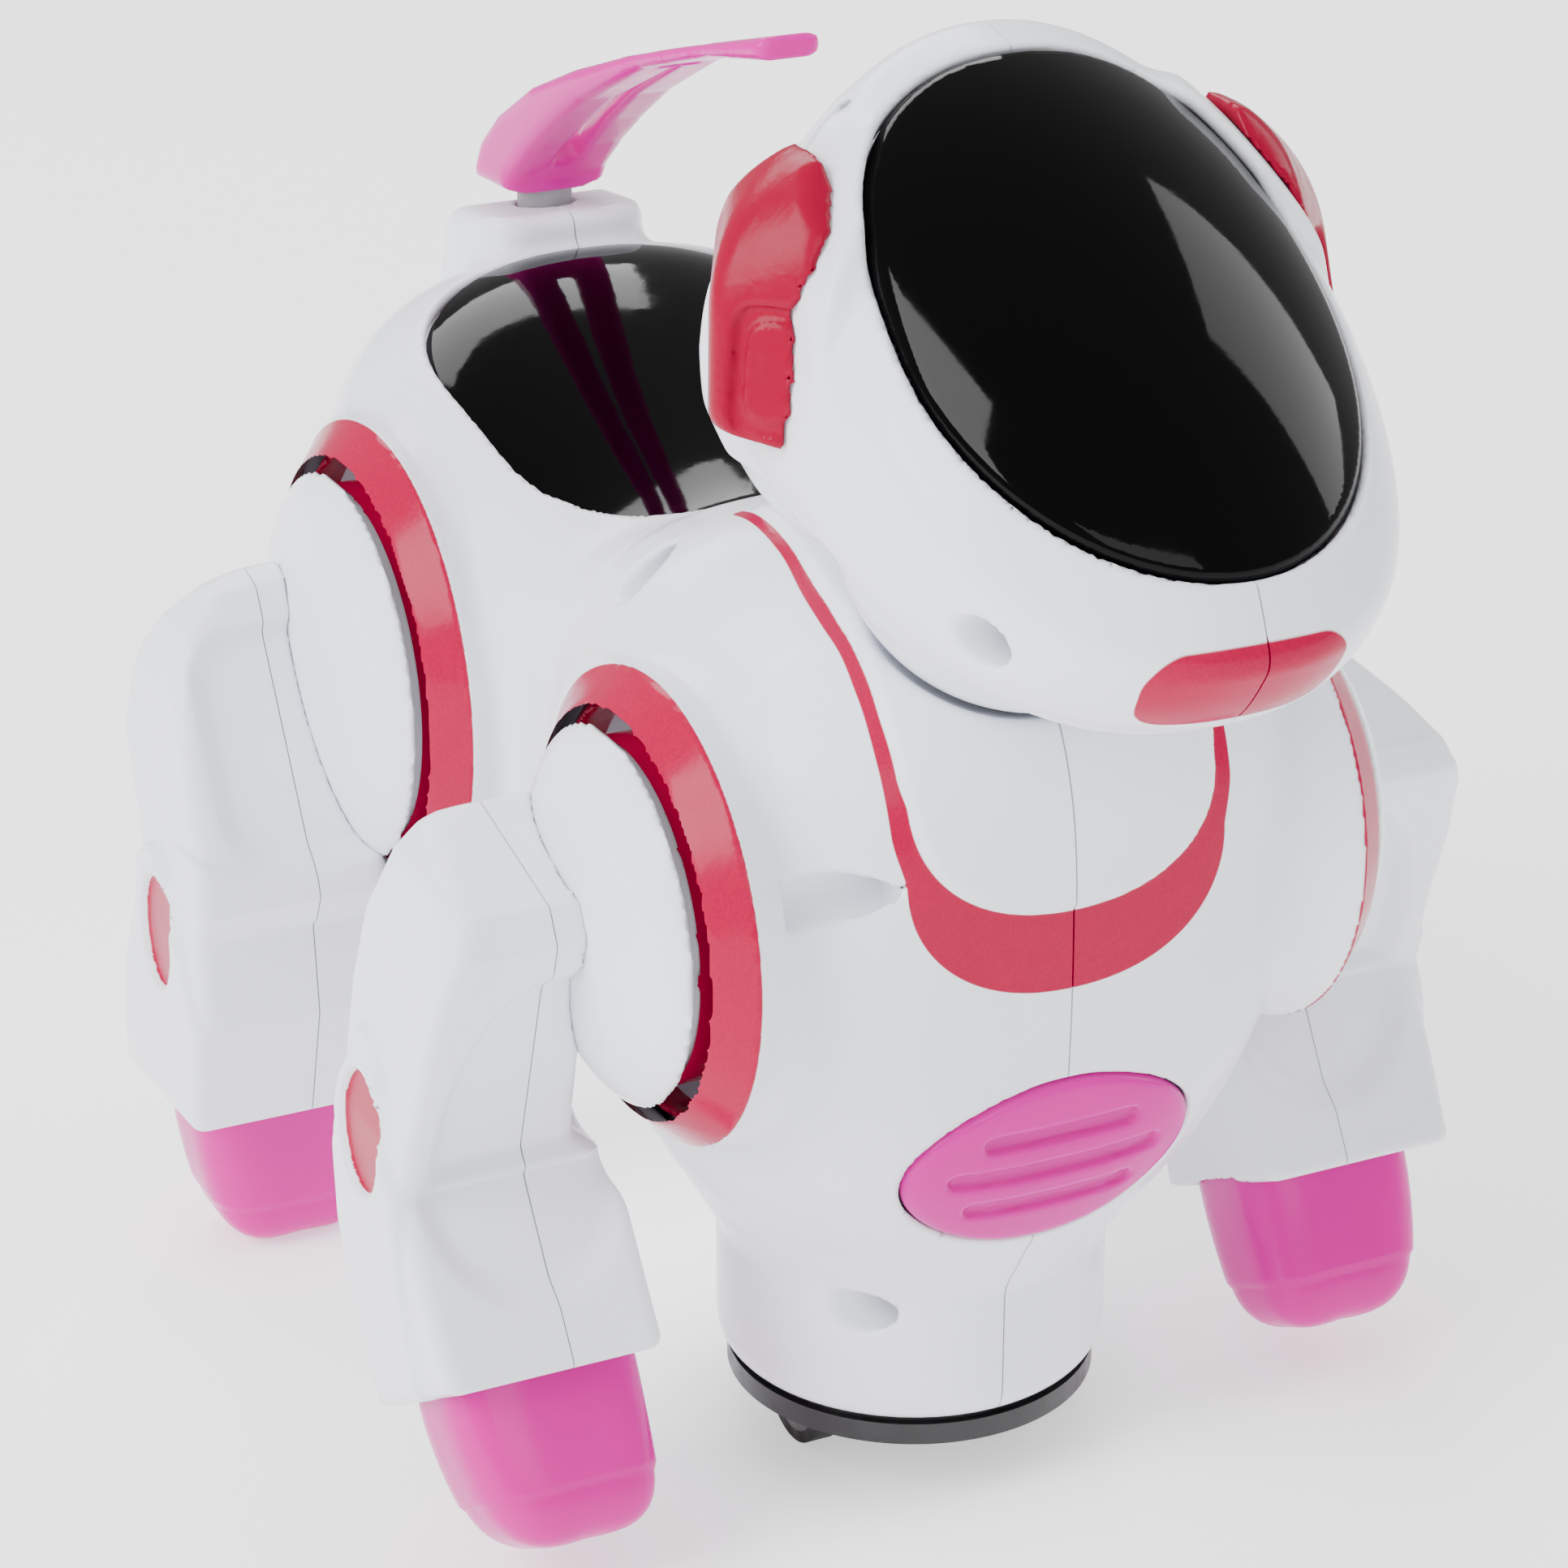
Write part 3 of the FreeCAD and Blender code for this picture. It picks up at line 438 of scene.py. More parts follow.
def body_shell(x, y, z, side):
    ax = np.abs(x)
    skin = body_skin(x, y, z)
    ball = neck_ball(x, y, z)
    hollow = np.maximum(skin + WALL, 4.2 - ball)
    for pivot_y, ring_r in RINGS:
        rho = from_pivot(y, z, pivot_y)
        cup = np.maximum(rho - (ring_r - CUP_INSET), CUP_BACK - ax)
        hollow = np.maximum(hollow, -cup)
    for y0, z0, *_ in BODY_SCREWS:
        hollow = np.maximum(hollow, SCREW_POST_R - pillar(y, z, y0, z0))
    d = np.maximum(skin, -hollow)
    d = blend_max(d, -(ball - 0.9), 1.2)
    for pivot_y, ring_r in RINGS:
        rho = from_pivot(y, z, pivot_y)
        d = blend_max(d, -np.maximum(rho - (ring_r - SOCKET_INSET), SOCKET_FLOOR - ax), 0.6)
        d = np.maximum(d, -np.maximum(rho - AXLE_HOLE_R, 20 - ax))
    up, out = lens_frame(y, z)
    opening = egg(x, up, LENS_HALF[0] + LENS_GAP, LENS_HALF[1] + LENS_GAP, 2.0)
    d = blend_max(d, -np.maximum(opening, -8 - out), 0.8)
    d = blend_max(d, -np.maximum(panel_plan(x, y) - 0.25, 90 - z), 0.8)
    for half, middle, reach, top in (TRAY_OPENING, SWITCH_OPENING):
        opening = np.maximum(np.maximum(ax - half, np.abs(y - middle) - reach), z - top)
        d = np.maximum(d, -opening)
    d = np.maximum(d, -np.maximum(pillar(x, y, 0, TAIL_Y) - TAIL_HOLE_R, 130 - z))
    d = np.maximum(d, -np.maximum(pillar(x, y, 0, 0) - PILLAR_BORE_R, z - 20))
    if side < 0:
        for y0, z0, start, end in BODY_SCREWS:
            bore = np.maximum(pillar(y, z, y0, z0) - SCREW_BORE_R, np.maximum(x + start, -end - x))
            d = blend_max(d, -bore, 0.8)
    return d


def panel_plan(x, y):
    """The oval of the black back panel, seen from above and a little wider at the rear."""
    v = y - 72.0
    return egg(x / (1 + 0.003 * v), v, 30.0, 33.0, 2.9)


def ring_paint(x, y, z):
    """Negative on the painted bands round the leg pivots."""
    ax = np.abs(x)
    best = 50.0
    for pivot_y, ring_r in RINGS:
        rho = from_pivot(y, z, pivot_y)
        band = plane(rho, ax, ring_r - 0.1, RING_EDGE + 0.1, RING_SLOPE[0], -RING_SLOPE[1])
        best = np.minimum(best, np.maximum(band, np.maximum(rho - ring_r - 1, RING_EDGE - 3 - ax)))
    return best


def body_paint(x, y, z):
    return np.minimum(ring_paint(x, y, z), collar(x, y, z))


# ---- materials ---------------------------------------------------------------------------
class Nodes:
    """A short way to write a material's node tree."""

    def __init__(self, name):
        self.material = bpy.data.materials.new(name)
        self.material.use_nodes = True
        self.tree = self.material.node_tree
        self.shader = self.tree.nodes["Principled BSDF"]
        self.place = self.add("ShaderNodeTexCoord").outputs["Object"]

    def add(self, kind, **values):
        node = self.tree.nodes.new(kind)
        for key, value in values.items():
            setattr(node, key, value)
        return node

    def link(self, output, socket):
        self.tree.links.new(output, socket)

    def set(self, **values):
        for key, value in values.items():
            self.shader.inputs[key.replace("_", " ")].default_value = value

    def noise(self, scale, detail=2.0):
        node = self.add("ShaderNodeTexNoise")
        node.inputs["Scale"].default_value = scale
        node.inputs["Detail"].default_value = detail
        self.link(self.place, node.inputs["Vector"])
        return node.outputs["Fac"]

    def spread(self, value, low, high, to_low, to_high):
        node = self.add("ShaderNodeMapRange")
        self.link(value, node.inputs["Value"])
        for key, number in (("From Min", low), ("From Max", high), ("To Min", to_low), ("To Max", to_high)):
            node.inputs[key].default_value = number
        return node.outputs["Result"]

    def mix(self, factor, first, second):
        node = self.add("ShaderNodeMix", data_type="RGBA")
        self.link(factor, node.inputs["Factor"])
        for socket, colour in ((node.inputs["A"], first), (node.inputs["B"], second)):
            if isinstance(colour, tuple):
                socket.default_value = colour
            else:
                self.link(colour, socket)
        return node.outputs["Result"]

    def bump(self, height, depth):
        node = self.add("ShaderNodeBump")
        node.inputs["Strength"].default_value = 1.0
        node.inputs["Distance"].default_value = depth
        self.link(height, node.inputs["Height"])
        self.link(node.outputs["Normal"], self.shader.inputs["Normal"])


def rgb(red, green, blue):
    """A colour given as the 0 to 255 numbers of a screen."""
    def linear(c):
        c = c / 255
        return c / 12.92 if c <= 0.04045 else ((c + 0.055) / 1.055) ** 2.4
    return (linear(red), linear(green), linear(blue), 1.0)


WHITE = rgb(236, 239, 247)
PAINT = rgb(172, 2, 60)
UNEVEN = 0.24                  # how far the roughness strays from its middle value


def darkened(colour, share):
    return tuple(c * share for c in colour[:3]) + (1.0,)


def moulded(name, colour, rough, coat=0.0, shade=0.92, depth=2e-5):
    """Injection moulded plastic: faint flow marks in the colour, fine uneven gloss and skin."""
    n = Nodes(name)
    flow = n.spread(n.noise(38.0), 0.35, 0.65, 0, 1)
    n.link(n.mix(flow, colour, darkened(colour, shade)), n.shader.inputs["Base Color"])
    gloss = n.spread(n.noise(260.0), 0.3, 0.7, rough * (1 - UNEVEN), rough * (1 + UNEVEN))
    n.link(gloss, n.shader.inputs["Roughness"])
    n.bump(n.noise(900.0, 1.0), depth)
    n.set(Coat_Weight=coat, Coat_Roughness=0.03)
    return n


def white_plastic(name, painted):
    n = moulded(name, WHITE, 0.2, coat=0.04, shade=0.97)
    n.set(Specular_IOR_Level=0.12, Subsurface_Weight=0.06, Subsurface_Scale=0.004,
          Subsurface_Radius=(1.0, 0.8, 0.8))
    if painted:
        mark = n.add("ShaderNodeAttribute", attribute_name="paint").outputs["Fac"]
        on = n.spread(mark, 0.07, -0.07, 0.0, 1.0)
        base = n.shader.inputs["Base Color"].links[0].from_socket
        grain = n.spread(n.noise(2600.0, 1.0), 0.3, 0.7, 0.0, 1.0)
        paint = n.mix(grain, PAINT, darkened(PAINT, 0.86))
        n.link(n.mix(on, base, paint), n.shader.inputs["Base Color"])
    return n.material


def clear_pink():
    colour = rgb(206, 0, 146)
    n = moulded("clear_pink", colour, 0.2, shade=0.93)
    n.set(Transmission_Weight=0.1, IOR=1.49, Specular_IOR_Level=0.12)
    n.set(Subsurface_Weight=0.4, Subsurface_Scale=0.012, Subsurface_Radius=(1.0, 0.35, 0.8))
    # painted glow: the clear pink gives off a faint light of its own colour, standing in for light that
    # shines through the parts
    n.set(Emission_Color=colour, Emission_Strength=0.12)
    return n.material


def black_window():
    n = moulded("black_window", rgb(1, 1, 2), 0.06, shade=0.8, depth=3e-6)
    n.set(Specular_IOR_Level=0.11)
    return n.material


def ear_pink():
    n = moulded("ear_pink", rgb(150, 2, 46), 0.24, shade=0.9, depth=4e-5)
    n.set(Specular_IOR_Level=0.1)
    return n.material


def metal(name, colour, rough):
    n = moulded(name, colour, rough, shade=0.85)
    n.set(Metallic=1.0)
    return n.material


materials = {
    "white_shell": white_plastic("white_painted", True),
    "ear_pink": ear_pink(),
    "black_gloss": black_window(),
    "pink_clear": clear_pink(),
    "speaker_black": moulded("speaker_black", rgb(24, 24, 26), 0.6).material,
    "grey_plastic": moulded("grey_plastic", rgb(150, 152, 156), 0.45).material,
    "cell_jacket": moulded("cell_jacket", rgb(30, 80, 150), 0.3).material,
    "contact_metal": metal("contact_metal", rgb(205, 200, 190), 0.25),
    "board_green": moulded("board_green", rgb(20, 90, 50), 0.5).material,
    "black_plastic": moulded("black_plastic", rgb(16, 16, 18), 0.38, shade=0.8).material,
    "motor_metal": metal("motor_metal", rgb(170, 170, 175), 0.35),
    "gear_nylon": moulded("gear_nylon", rgb(232, 228, 214), 0.4).material,
    "wheel_black": moulded("wheel_black", rgb(28, 28, 30), 0.45).material,
    "tyre_rubber": moulded("tyre_rubber", rgb(20, 20, 20), 0.8, depth=6e-5).material,
    "steel": metal("steel", rgb(190, 190, 195), 0.3),
}
plain_white = white_plastic("white_plain", False)


def dress(piece, material):
    piece.data.materials.clear()
    piece.data.materials.append(material)


def dress_cad():
    for part in frame["record"]["subparts"]:
        slot = part["material_slot"]
        dress(frame["nodes"][part["node"]], plain_white if slot == "white_shell" else materials[slot])


def finish_piece(piece, body, slot, replaced, mark=None):
    """Gives a piece its paint, its material and its body, and hides the CAD node that it stands for."""
    if mark is not None:
        paint_marks(piece, mark)
    painted = "paint" in piece.data.attributes
    dress(piece, plain_white if slot == "white_shell" and not painted else materials[slot])
    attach(piece, body)
    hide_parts(replaced)


def half_range(side, reach):
    """The x range of one half of a shell, a little past the seam."""
    return (-1.5, reach) if side > 0 else (-reach, 1.5)


def build_body():
    for side, name in SIDES:
        left, right = half_range(side, 46.5)
        shell = model("body_casing_" + name, partial(body_shell, side=side),
                      (left, -44, 9), (right, 130, 142), FINE)
        trim(shell, (side * SEAM, 0, 0), (side, 0, 0))
        finish_piece(shell, "toy_body", "white_shell", "body_shell_" + name, mark=body_paint)
    window = model("chest_window", lens, (-22, -44, 40), (22, -30, 72), 0.6)
    finish_piece(window, "toy_body", "pink_clear", "chest_lens")


# ---- head --------------------------------------------------------------------------------
DOWN = (-math.cos(VISOR_SLOPE), -math.sin(VISOR_SLOPE))
OUT = (-math.sin(VISOR_SLOPE), math.cos(VISOR_SLOPE))
# head sections behind the visor plane: depth, middle, half height, half width
HEAD = [(-61, 16, 8, 10), (-55, 16.5, 17, 21), (-46, 18, 24, 29), (-37, 20, 29, 33), (-29, 25.4, 36, 35.1),
        (-22, 33.4, 44.2, 35.2), (-13, 35.4, 45.6, 33.5), (-4, 36.2, 44.4, 31.2), (9, 36, 43.2, 29.6)]
head_middle, head_half, head_wide = (curve(HEAD, c) for c in (1, 2, 3))
HEAD_DEPTHS = (-61, 9)
HEAD_POWER = 2.25
HEAD_SCREWS = [(-64.0, 138.0), (-17.0, 183.5), (-29.5, 136.3), (6.0, 158.0)]
DOME = (36.0, -33.0)                        # middle of the head's dome, down the visor and out
VISOR_MIDDLE = 35.4
VISOR_HALF = (27.2, 36.1)
NECK_HOLE_R = 10.7
NECK_LEAN = math.radians(20)
NOSE_HALF = (12.6, 5.9)


def visor_frame(y, z):
    """Distance down the visor's plane and in front of it."""
    dy, dz = y - VISOR_TOP[1], z - VISOR_TOP[2]
    return dy * DOWN[0] + dz * DOWN[1], dy * OUT[0] + dz * OUT[1]


def head_dome(x, s, n, extra):
    """The long dome that closes the head over and in front of the visor's plane."""
    length, width = 63.7 + extra, 39.5 + extra
    down, out = s - DOME[0], n - DOME[1]
    ratio = np.sqrt((down / length) ** 2 + (out ** 2 + x * x) / width ** 2)
    reach = np.sqrt(down ** 2 + out ** 2 + x * x)
    return (1 - 1 / np.maximum(ratio, 1e-6)) * reach


def head_outside(x, y, z):
    s, n = visor_frame(y, z)
    depth = np.clip(n, *HEAD_DEPTHS)
    back = np.minimum(n + 50, 0) / 13.0
    middle, half, wide = head_middle(depth), head_half(depth), head_wide(depth)
    total = (np.abs(x) / wide) ** HEAD_POWER + (np.abs(s - middle) / half) ** HEAD_POWER
    total = total + np.abs(back) ** 2.2 * 0.15
    ratio = np.maximum(total, 1e-9) ** (1 / HEAD_POWER)
    d = (1 - 1 / ratio) * np.sqrt(x * x + (s - middle) ** 2)
    d = np.maximum(d, HEAD_DEPTHS[0] - n)
    d = blend_max(d, head_dome(x, s, n, 1.0), 1.6)
    return blend_min(d, neck_ball(x, y, z), 1.5)


EAR_SIDE = [(-20, 183.5), (-26.5, 183), (-33, 176.5), (-36, 168.5), (-36.5, 161.5), (-34, 150), (-14, 147.5),
            (-8.5, 150.5), (-8.5, 156), (-12, 168), (-15, 177.5)]
EAR_CREST = (40.3, -27.0)                   # |x| and y of the ear's widest edge
EAR_OUT = (0.74, -0.673)                    # the way its broad face looks
EAR_FLANGE = 2.6                            # how far the head's seat reaches past the ear
EAR_PANEL = (6.6, 160.8)                    # middle of the sunk panel, along the face and up
EAR_PANEL_HALF = (4.6, 7.2)


def ear_face(ax, y, z):
    """Distance from the ear's broad face, which leans out towards its lower end."""
    return plane(ax, y, *EAR_CREST, *EAR_OUT) - 0.2 * (166 - z)


def ear_block(x, y, z):
    ax = np.abs(x)
    rear = plane(ax, y, EAR_CREST[0], -24.5, 0.88, 0.48)
    top = plane(ax, z, 38.3, 177.5, 0.507, 0.862)
    low = plane(ax, z, 39.5, 153.0, 0.22, -0.97)
    d = blend_max(ear_face(ax, y, z), rear, 2.5)
    d = blend_max(d, top, 9)
    d = blend_max(d, low, 2.5)
    d = blend_max(d, rounded(EAR_SIDE, 1.5, y, z), 1.2)
    return np.maximum(d, 27 - ax)


def head_skin(x, y, z):
    """The head with the low seat that each ear stands on."""
    d = head_outside(x, y, z)
    flange = blend_max(outline(EAR_SIDE, y, z) - EAR_FLANGE, np.abs(x) - 33.3, 2)
    return blend_min(d, blend_max(flange, d - 1.8, 1), 2)


def visor_plan(x, s):
    power = 2.0 + 0.5 * ramp(VISOR_MIDDLE - s, -5, 20)
    down = s - VISOR_MIDDLE
    ratio = ((np.abs(x) / VISOR_HALF[0]) ** power + (np.abs(down) / VISOR_HALF[1]) ** power) ** (1 / power)
    return (1 - 1 / np.maximum(ratio, 1e-6)) * np.sqrt(x * x + down ** 2)


def visor(x, y, z):
    s, n = visor_frame(y, z)
    bowl = head_dome(x, s, n, 0.9)
    return blend_max(np.maximum(blend_max(bowl, visor_plan(x, s), 1.2), -bowl - 2.0), -24 - n, 1.0)


def head_shell(x, y, z, side):
    s, n = visor_frame(y, z)
    skin = head_skin(x, y, z)
    hollow = skin + WALL
    for y0, z0 in HEAD_SCREWS:
        hollow = np.maximum(hollow, SCREW_POST_R - pillar(y, z, y0, z0))
    d = np.maximum(skin, -hollow)
    d = blend_max(d, -np.maximum(visor_plan(x, s) - 0.25, -20 - n), 1.2)
    neck_y, neck_z = y - NECK[1], z - NECK[2]
    along = -neck_y * math.sin(NECK_LEAN) + neck_z * math.cos(NECK_LEAN)
    across = neck_y * math.cos(NECK_LEAN) + neck_z * math.sin(NECK_LEAN)
    d = np.maximum(d, -np.maximum(pillar(x, across, 0, 0) - NECK_HOLE_R, along + 12))
    if side < 0:
        for y0, z0 in HEAD_SCREWS:
            bore = np.maximum(pillar(y, z, y0, z0) - SCREW_BORE_R, x + 7)
            d = blend_max(d, -bore, 0.8)
    return d


def nose_paint(x, y, z):
    """Negative on the nose patch under the visor."""
    s, n = visor_frame(y, z)
    width = np.abs(x + 0.8) - NOSE_HALF[0] - 0.12 * (n + 9)
    height = np.abs(n + 8.2 + 0.012 * x * x) - NOSE_HALF[1]
    return np.maximum(blend_max(width, height, 5), 60 - s)


def ear(x, y, z):
    ax = np.abs(x)
    d = ear_block(x, y, z)
    depth = ear_face(ax, y, z)
    along = plane(ax, y, *EAR_CREST, EAR_OUT[1], -EAR_OUT[0])
    width = np.abs(along - EAR_PANEL[0]) - EAR_PANEL_HALF[0]
    height = np.abs(z - EAR_PANEL[1]) - EAR_PANEL_HALF[1]
    plan = blend_max(width, height, 3.0)
    d = blend_max(d, -np.maximum(plan, -0.9 - depth), 0.8)
    d = blend_min(d, np.maximum(plan + 1.6, depth + 0.35), 0.5)
    return np.maximum(d, -(head_skin(x, y, z) - 0.1))


def build_head():
    for side, name in SIDES:
        left, right = half_range(side, 42)
        shell = model("head_casing_" + name, partial(head_shell, side=side),
                      (left, -86, 108), (right, 26, 198), FINE)
        trim(shell, (side * SEAM, 0, 0), (side, 0, 0))
        finish_piece(shell, "head", "white_shell", "head_shell_" + name, mark=nose_paint)
    window = model("visor_window", visor, (-30, -86, 136), (30, -12, 198), FINE)
    finish_piece(window, "head", "black_gloss", "visor")
    left_ear = model("ear_cover_left", ear, (26, -46, 144), (44, -4, 188), 0.6)
    right_ear = mirrored(left_ear, "ear_cover_right")
    finish_piece(left_ear, "head", "ear_pink", "ear_left")
    finish_piece(right_ear, "head", "ear_pink", "ear_right")


# ---- tail --------------------------------------------------------------------------------
TAIL_SIDE = [(126, 140.5), (125.8, 144), (123.5, 148), (117, 153.2), (104.5, 160), (90, 165.6), (74, 170.9),
             (60, 174.9), (48, 178), (36.5, 181), (36.5, 177.8), (52, 175.1), (70, 169.8), (88, 161.5),
             (98, 155.5), (106, 150), (112.5, 144.6), (114, 142.2), (125, 141.6)]
TAIL_TRAY = [(122.5, 144.4), (116, 146.6), (108, 153), (98, 159), (88, 164.2), (74, 169.4), (62, 173.2),
             (52, 176.8), (52, 190), (128, 190), (123, 148)]
TAIL_HALF = 8.2


def tail(x, y, z):
    """A leaf that narrows towards its tip, with a sunk tray and a slot through it."""
    ax = np.abs(x)
    half = TAIL_HALF - 0.00115 * np.maximum(105 - y, 0) ** 1.9
    d = blend_max(rounded(TAIL_SIDE, 0.8, y, z), ax - half, 2.5)
    tray = blend_max(outline(TAIL_TRAY, y, z), ax - half + 2.2, 3.0)
    d = blend_max(d, -tray, 1.2)
    slot = blend_max(ax - 0.05 * (y - 70), np.abs(y - 91) - 20, 2)
    d = blend_max(d, -slot, 1.0)
    socket = np.maximum(pillar(x, y, 0, TAIL_Y) - 5.6, np.maximum(z - 147, 142.2 - z))
    d = blend_min(d, socket, 2.0)
    pin = np.maximum(pillar(x, y, 0, TAIL_Y) - 4.05, z - 143.6)
    return np.maximum(d, -pin)


def build_tail():
    leaf = model("tail_leaf", tail, (-12, 34, 136), (12, 133, 184), 0.7)
    finish_piece(leaf, "tail", "pink_clear", "tail")


# ---- legs --------------------------------------------------------------------------------
FRONT_SIDE = [(7, 97), (5.3, 98.4), (-16.3, 92.8), (-18.5, 88.5), (-7, 52.6), (-21.1, 32.2), (4, 17),
              (9, 27), (12.5, 42), (14, 54), (12, 66), (9.5, 82)]
REAR_SIDE = [(94, 97.5), (91.4, 101.2), (86.2, 99.3), (78.2, 85.6), (67.9, 67.6), (65.8, 60.7),
             (68.9, 54.8), (67.8, 42.1), (73, 24.2), (105, 21.5), (99, 41), (92.5, 53), (91, 60),
             (96, 68), (100.5, 77), (99, 90)]
LEG_FACE = [(48, 102), (58, 101.2), (64, 99), (69, 94), (72.5, 86), (74, 76), (74.6, 66), (75.2, 60),
            (75.4, 42), (74.6, 28), (73.2, 14), (45, 14), (45.3, 46), (47.6, 57), (48, 68)]
# arch: y and z of its peak and its bend; oval: y, z and half sizes; tilt and swing in degrees
LEGS = {
    "front": dict(side=FRONT_SIDE, pivot=FRONT_Y, ring=FRONT_RING_R, arch=(2.5, 72.5, 0.20),
                  oval=(1.6, 58.6, 6.4, 8.3), tilt=31.0, foot_top=(-8.0, 24.4), foot_length=21.5, swing=4.0),
    "rear": dict(side=REAR_SIDE, pivot=REAR_Y, ring=REAR_RING_R, arch=(84.0, 64.5, 0.085),
                 oval=(80.5, 53.0, 6.0, 8.3), tilt=0.0, foot_top=(88.0, 22.9), foot_length=22.9, swing=0.0),
}
FOOT_MIDDLE = sum((45.6, 72.6)) / 2
FOOT_HALF = (13.5, 11.8)
FOOT_POWER = 3.6
FOOT_STEP = 0.7
LEG_STEP = 0.7
DISC_STEP = 0.8
PAINT_INSET = 0.2


def hub_profile(ax, rho, dome_r):
    """The domed disc that carries a leg: its rim laps over the socket's lip."""
    out = np.maximum(ax - DISC_X, 0)
    ratio = np.sqrt((rho / dome_r) ** 2 + (out / DISC_RISE) ** 2)
    d = (1 - 1 / np.maximum(ratio, 1e-6)) * np.sqrt(rho ** 2 + out ** 2)
    dome = np.maximum(d, RING_FACE + DISC_CLEARANCE - ax)
    stem = np.maximum(rho - (dome_r - 3.3), 36.6 - ax)
    return np.minimum(dome, np.maximum(stem, ax - 50))


def hub(which, x, y, z):
    leg = LEGS[which]
    return hub_profile(np.abs(x), from_pivot(y, z, leg["pivot"]), leg["ring"] - DISC_INSET)


def front_relief(ax, y, z):
    """Depth of the front leg's sunk thigh panel and of the dish below it."""
    panel = np.where(ax > 58, egg(ax - 58, z - 50, 14.5, 34.5, 2.0), z - 84.5)
    panel = np.maximum(panel, 52.0 - z)
    dish = egg(ax - 59.0, z - 53.5, 14.5, 15.5, 2.2)
    sunk = 2.8 * ramp(-panel, 0, 4.0) * ramp(8 - y, 4, 10)
    return sunk + 1.5 * ramp(-dish, 0, 3.5) * ramp(52.8 - z, 0, 0.6) * ramp(-2 - y, 0, 5)


def rear_relief(ax, y, z):
    """Depth of the rear leg's sunk thigh panel, less the raised band at its knee."""
    panel = blend_max(np.abs(z - 80) - 15.5, np.abs(ax - 55) - 15.5, 8)
    band = np.abs(z - 60.0 - 0.05 * (ax - 58) ** 2 * 0.3)
    sunk = 1.8 * ramp(-panel, 0, 3.0) * ramp(95 - y, 0, 6)
    return sunk - 0.6 * ramp(4.5 - band, 0, 1.0) * ramp(80 - y, 0, 6)


def leg_skin(which, ax, y, z):
    """The outside of a leg with its arched shin, its relief and the rimmed dish of its oval."""
    leg = LEGS[which]
    side = rounded(leg["side"], 1.0, y, z)
    face = rounded(LEG_FACE, 1.5, ax, z)
    peak_y, peak_z, bend = leg["arch"]
    arch = (z - peak_z + bend * (y - peak_y) ** 2) / np.sqrt(1 + (2 * bend * (y - peak_y)) ** 2)
    face = face - 1.3 * ramp(-arch, -0.3, 0.7) * ramp(ax, 66, 70)
    relief = front_relief if which == "front" else rear_relief
    d = blend_max(side, face, 2.5) + relief(ax, y, z)
    oy, oz, ry, rz = leg["oval"]
    oval = egg(y - oy, z - oz, ry, rz, 2.0)
    d = d + 0.7 * ramp(-oval, -0.4, 0.4) * ramp(ax, 70, 72)
    d = d - 0.5 * ramp(1.3 - np.abs(oval - 0.8), 0, 0.9) * ramp(ax, 70, 72)
    return d


def foot_frame(which, y, z):
    """Distance down from the top of the foot and back from its middle."""
    tilt = math.radians(LEGS[which]["tilt"])
    y0, z0 = LEGS[which]["foot_top"]
    down = -(y - y0) * math.sin(tilt) - (z - z0) * math.cos(tilt)
    back = (y - y0) * math.cos(tilt) - (z - z0) * math.sin(tilt)
    return down, back


def leg_shell(which, x, y, z):
    """A hollow leg, open where the hub enters it and where the foot leaves it."""
    ax = np.abs(x)
    skin = leg_skin(which, ax, y, z)
    d = np.maximum(skin, -(skin + LEG_WALL))
    d = np.maximum(d, -hub(which, x, y, z))
    down, back = foot_frame(which, y, z)
    mouth = egg(ax - FOOT_MIDDLE, back, FOOT_HALF[0] - 0.4, FOOT_HALF[1] - 0.4, FOOT_POWER)
    return np.maximum(d, -np.maximum(mouth, -down - 4))


def foot(which, x, y, z):
    """A clear foot that narrows and leans forward towards its sole, with a step low on its sides."""
    down, back = foot_frame(which, y, z)
    length = LEGS[which]["foot_length"]
    share = np.clip(down / length, 0, 1)
    shift = 1.6 * share ** 2
    narrow = 0.4 + 2.6 * share ** 2
    u = np.abs(x) - FOOT_MIDDLE + shift
    sides = egg(u, back + shift, FOOT_HALF[0] - narrow, FOOT_HALF[1] - narrow, FOOT_POWER)
    sides = sides + 0.45 * ramp(share, 0.66, 0.68)
    return np.maximum(blend_max(sides, down - length, 7.0), -3 - down)


def leg_paint(which, x, y, z):
    """Negative on the painted oval of a leg's outer side."""
    oy, oz, ry, rz = LEGS[which]["oval"]
    oval = egg(y - oy, z - oz, ry - PAINT_INSET, rz - PAINT_INSET, 2.0)
    return np.maximum(oval, 60 - np.abs(x))


def swing_back(piece, which):
    """Turns a left piece about its hub so that the foot stands a little further back."""
    leg = LEGS[which]
    pivot = Vector((0, leg["pivot"], PIVOT_Z)) * MM
    turn = Matrix.Rotation(math.radians(leg["swing"]), 4, "X")
    piece.data.transform(Matrix.Translation(pivot) @ turn @ Matrix.Translation(-pivot))


def place_pair(left, right, which, slot, node):
    """Puts a left piece and its mirrored twin on the two legs of one end."""
    for piece, side in ((left, "left"), (right, "right")):
        finish_piece(piece, "leg_" + which + "_" + side, slot, node + "_" + which + "_" + side)


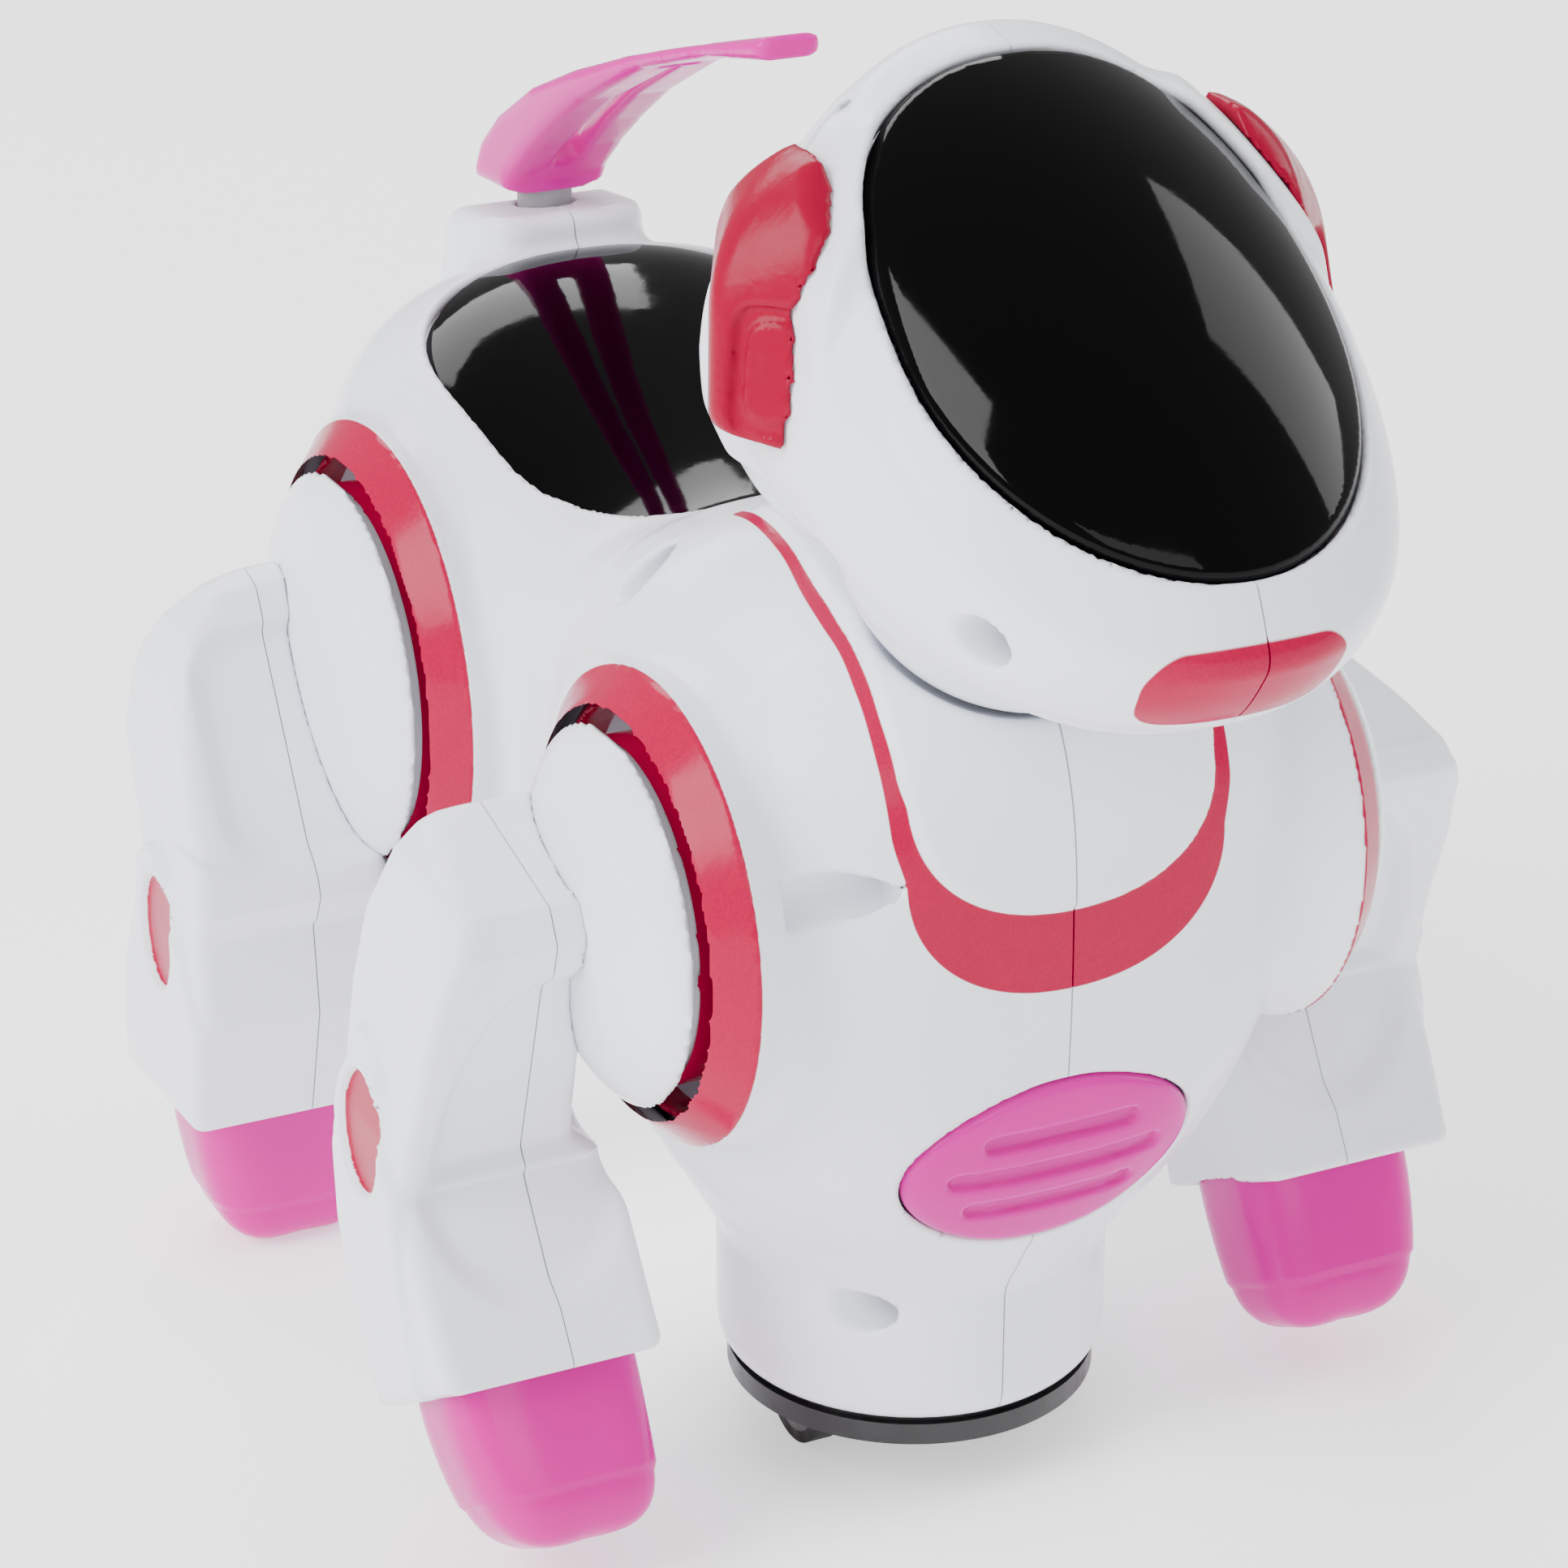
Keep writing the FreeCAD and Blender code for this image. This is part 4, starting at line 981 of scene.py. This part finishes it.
def build_leg_casings(which):
    ys = [point[0] for point in LEGS[which]["side"]]
    whole = model("leg_whole_" + which, partial(leg_shell, which),
                  (42, min(ys) - 3, 12), (79, max(ys) + 3, 104), LEG_STEP)
    for half, direction in (("outer", 1), ("inner", -1)):
        name = "leg_" + half + "_cover_" + which
        left = whole.copy()
        left.data = whole.data.copy()
        left.name = name + "_left"
        bpy.context.scene.collection.objects.link(left)
        trim(left, (LEG_SEAM_X + direction * SEAM * 0.8, 0, 0), (direction, 0, 0))
        paint_marks(left, partial(leg_paint, which))
        right = mirrored(left, name + "_right")
        swing_back(left, which)
        place_pair(left, right, which, "white_shell", "leg_" + half)
    bpy.data.objects.remove(whole)


def build_foot(which):
    front_y = LEGS[which]["foot_top"][0] - 30
    rear_y = LEGS[which]["foot_top"][0] + 20
    left = model("leg_foot_pad_" + which + "_left", partial(foot, which),
                 (42, front_y, -2), (76, rear_y, 36), FOOT_STEP)
    right = mirrored(left, "leg_foot_pad_" + which + "_right")
    swing_back(left, which)
    place_pair(left, right, which, "pink_clear", "leg_foot")


def build_disc(which):
    leg = LEGS[which]
    reach = leg["ring"] - DISC_INSET + 3
    low = (34, leg["pivot"] - reach, PIVOT_Z - reach)
    high = (57, leg["pivot"] + reach, PIVOT_Z + reach)
    left = model("leg_disc_" + which + "_left", partial(hub, which), low, high, DISC_STEP)
    right = mirrored(left, "leg_disc_" + which + "_right")
    place_pair(left, right, which, "white_shell", "leg_hub")


def build_legs():
    for which in LEGS:
        build_leg_casings(which)
        build_foot(which)
        build_disc(which)


# ---- stage: floor, lights and camera ---------------------------------------------------------
FLOOR_REACH = 6.0
AIM = (0.0, 0.03, 0.09)
# name, place, size and watts of each soft light
LIGHTS = [("soft_left", (-1.9, -0.2, 1.5), (1.3, 1.5), 84), ("soft_right", (1.9, -0.1, 1.3), (1.0, 1.5), 26),
          ("soft_front", (-0.5, -2.2, 1.3), (1.8, 0.9), 18), ("soft_back", (0.1, 2.2, 2.2), (2.4, 1.0), 70)]
WORLD_STRENGTH = 0.6
CAMERA_PLACE = (-0.2395, -0.4517, 0.3091)
CAMERA_TURN = math.radians(26.04)
CAMERA_DIP = math.radians(23.04)


def stage_floor():
    mesh = bpy.data.meshes.new("stage_floor")
    corners = [(x * FLOOR_REACH, y * FLOOR_REACH, 0) for x, y in ((-1, -1), (1, -1), (1, 1), (-1, 1))]
    mesh.from_pydata(corners, [], [(0, 1, 2, 3)])
    floor = bpy.data.objects.new("stage_floor", mesh)
    bpy.context.scene.collection.objects.link(floor)
    n = Nodes("floor_paper")
    tone = n.mix(n.spread(n.noise(3.0), 0.4, 0.6, 0, 1), (0.965, 0.965, 0.97, 1), (0.955, 0.955, 0.96, 1))
    n.link(tone, n.shader.inputs["Base Color"])
    n.set(Roughness=0.55, Specular_IOR_Level=0.25, Emission_Color=(1, 1, 1, 1), Emission_Strength=0.7)
    floor.data.materials.append(n.material)


def look_along(item, direction):
    item.rotation_euler = Vector(direction).to_track_quat("-Z", "Y").to_euler()
    bpy.context.scene.collection.objects.link(item)


def soft_light(name, place, size, power):
    light = bpy.data.lights.new(name, "AREA")
    light.shape = "RECTANGLE"
    light.size, light.size_y = size
    light.energy = power
    lamp = bpy.data.objects.new(name, light)
    lamp.location = place
    look_along(lamp, Vector(AIM) - Vector(place))


def white_world():
    world = bpy.data.worlds.new("studio")
    world.use_nodes = True
    background = world.node_tree.nodes["Background"]
    background.inputs["Color"].default_value = (1, 1, 1, 1)
    background.inputs["Strength"].default_value = WORLD_STRENGTH
    bpy.context.scene.world = world


def main_camera():
    camera = bpy.data.objects.new("camera", bpy.data.cameras.new("camera"))
    camera.data.sensor_width = 36.0
    camera.data.lens = 99.86
    camera.data.clip_start = 0.05
    camera.location = CAMERA_PLACE
    level = math.cos(CAMERA_DIP)
    look_along(camera, (math.sin(CAMERA_TURN) * level, math.cos(CAMERA_TURN) * level, -math.sin(CAMERA_DIP)))
    bpy.context.scene.camera = camera


# ---- the whole scene -------------------------------------------------------------------------
dress_cad()
build_body()
build_head()
build_tail()
build_legs()
stage_floor()
for name, place, size, power in LIGHTS:
    soft_light(name, place, size, power)
white_world()
main_camera()
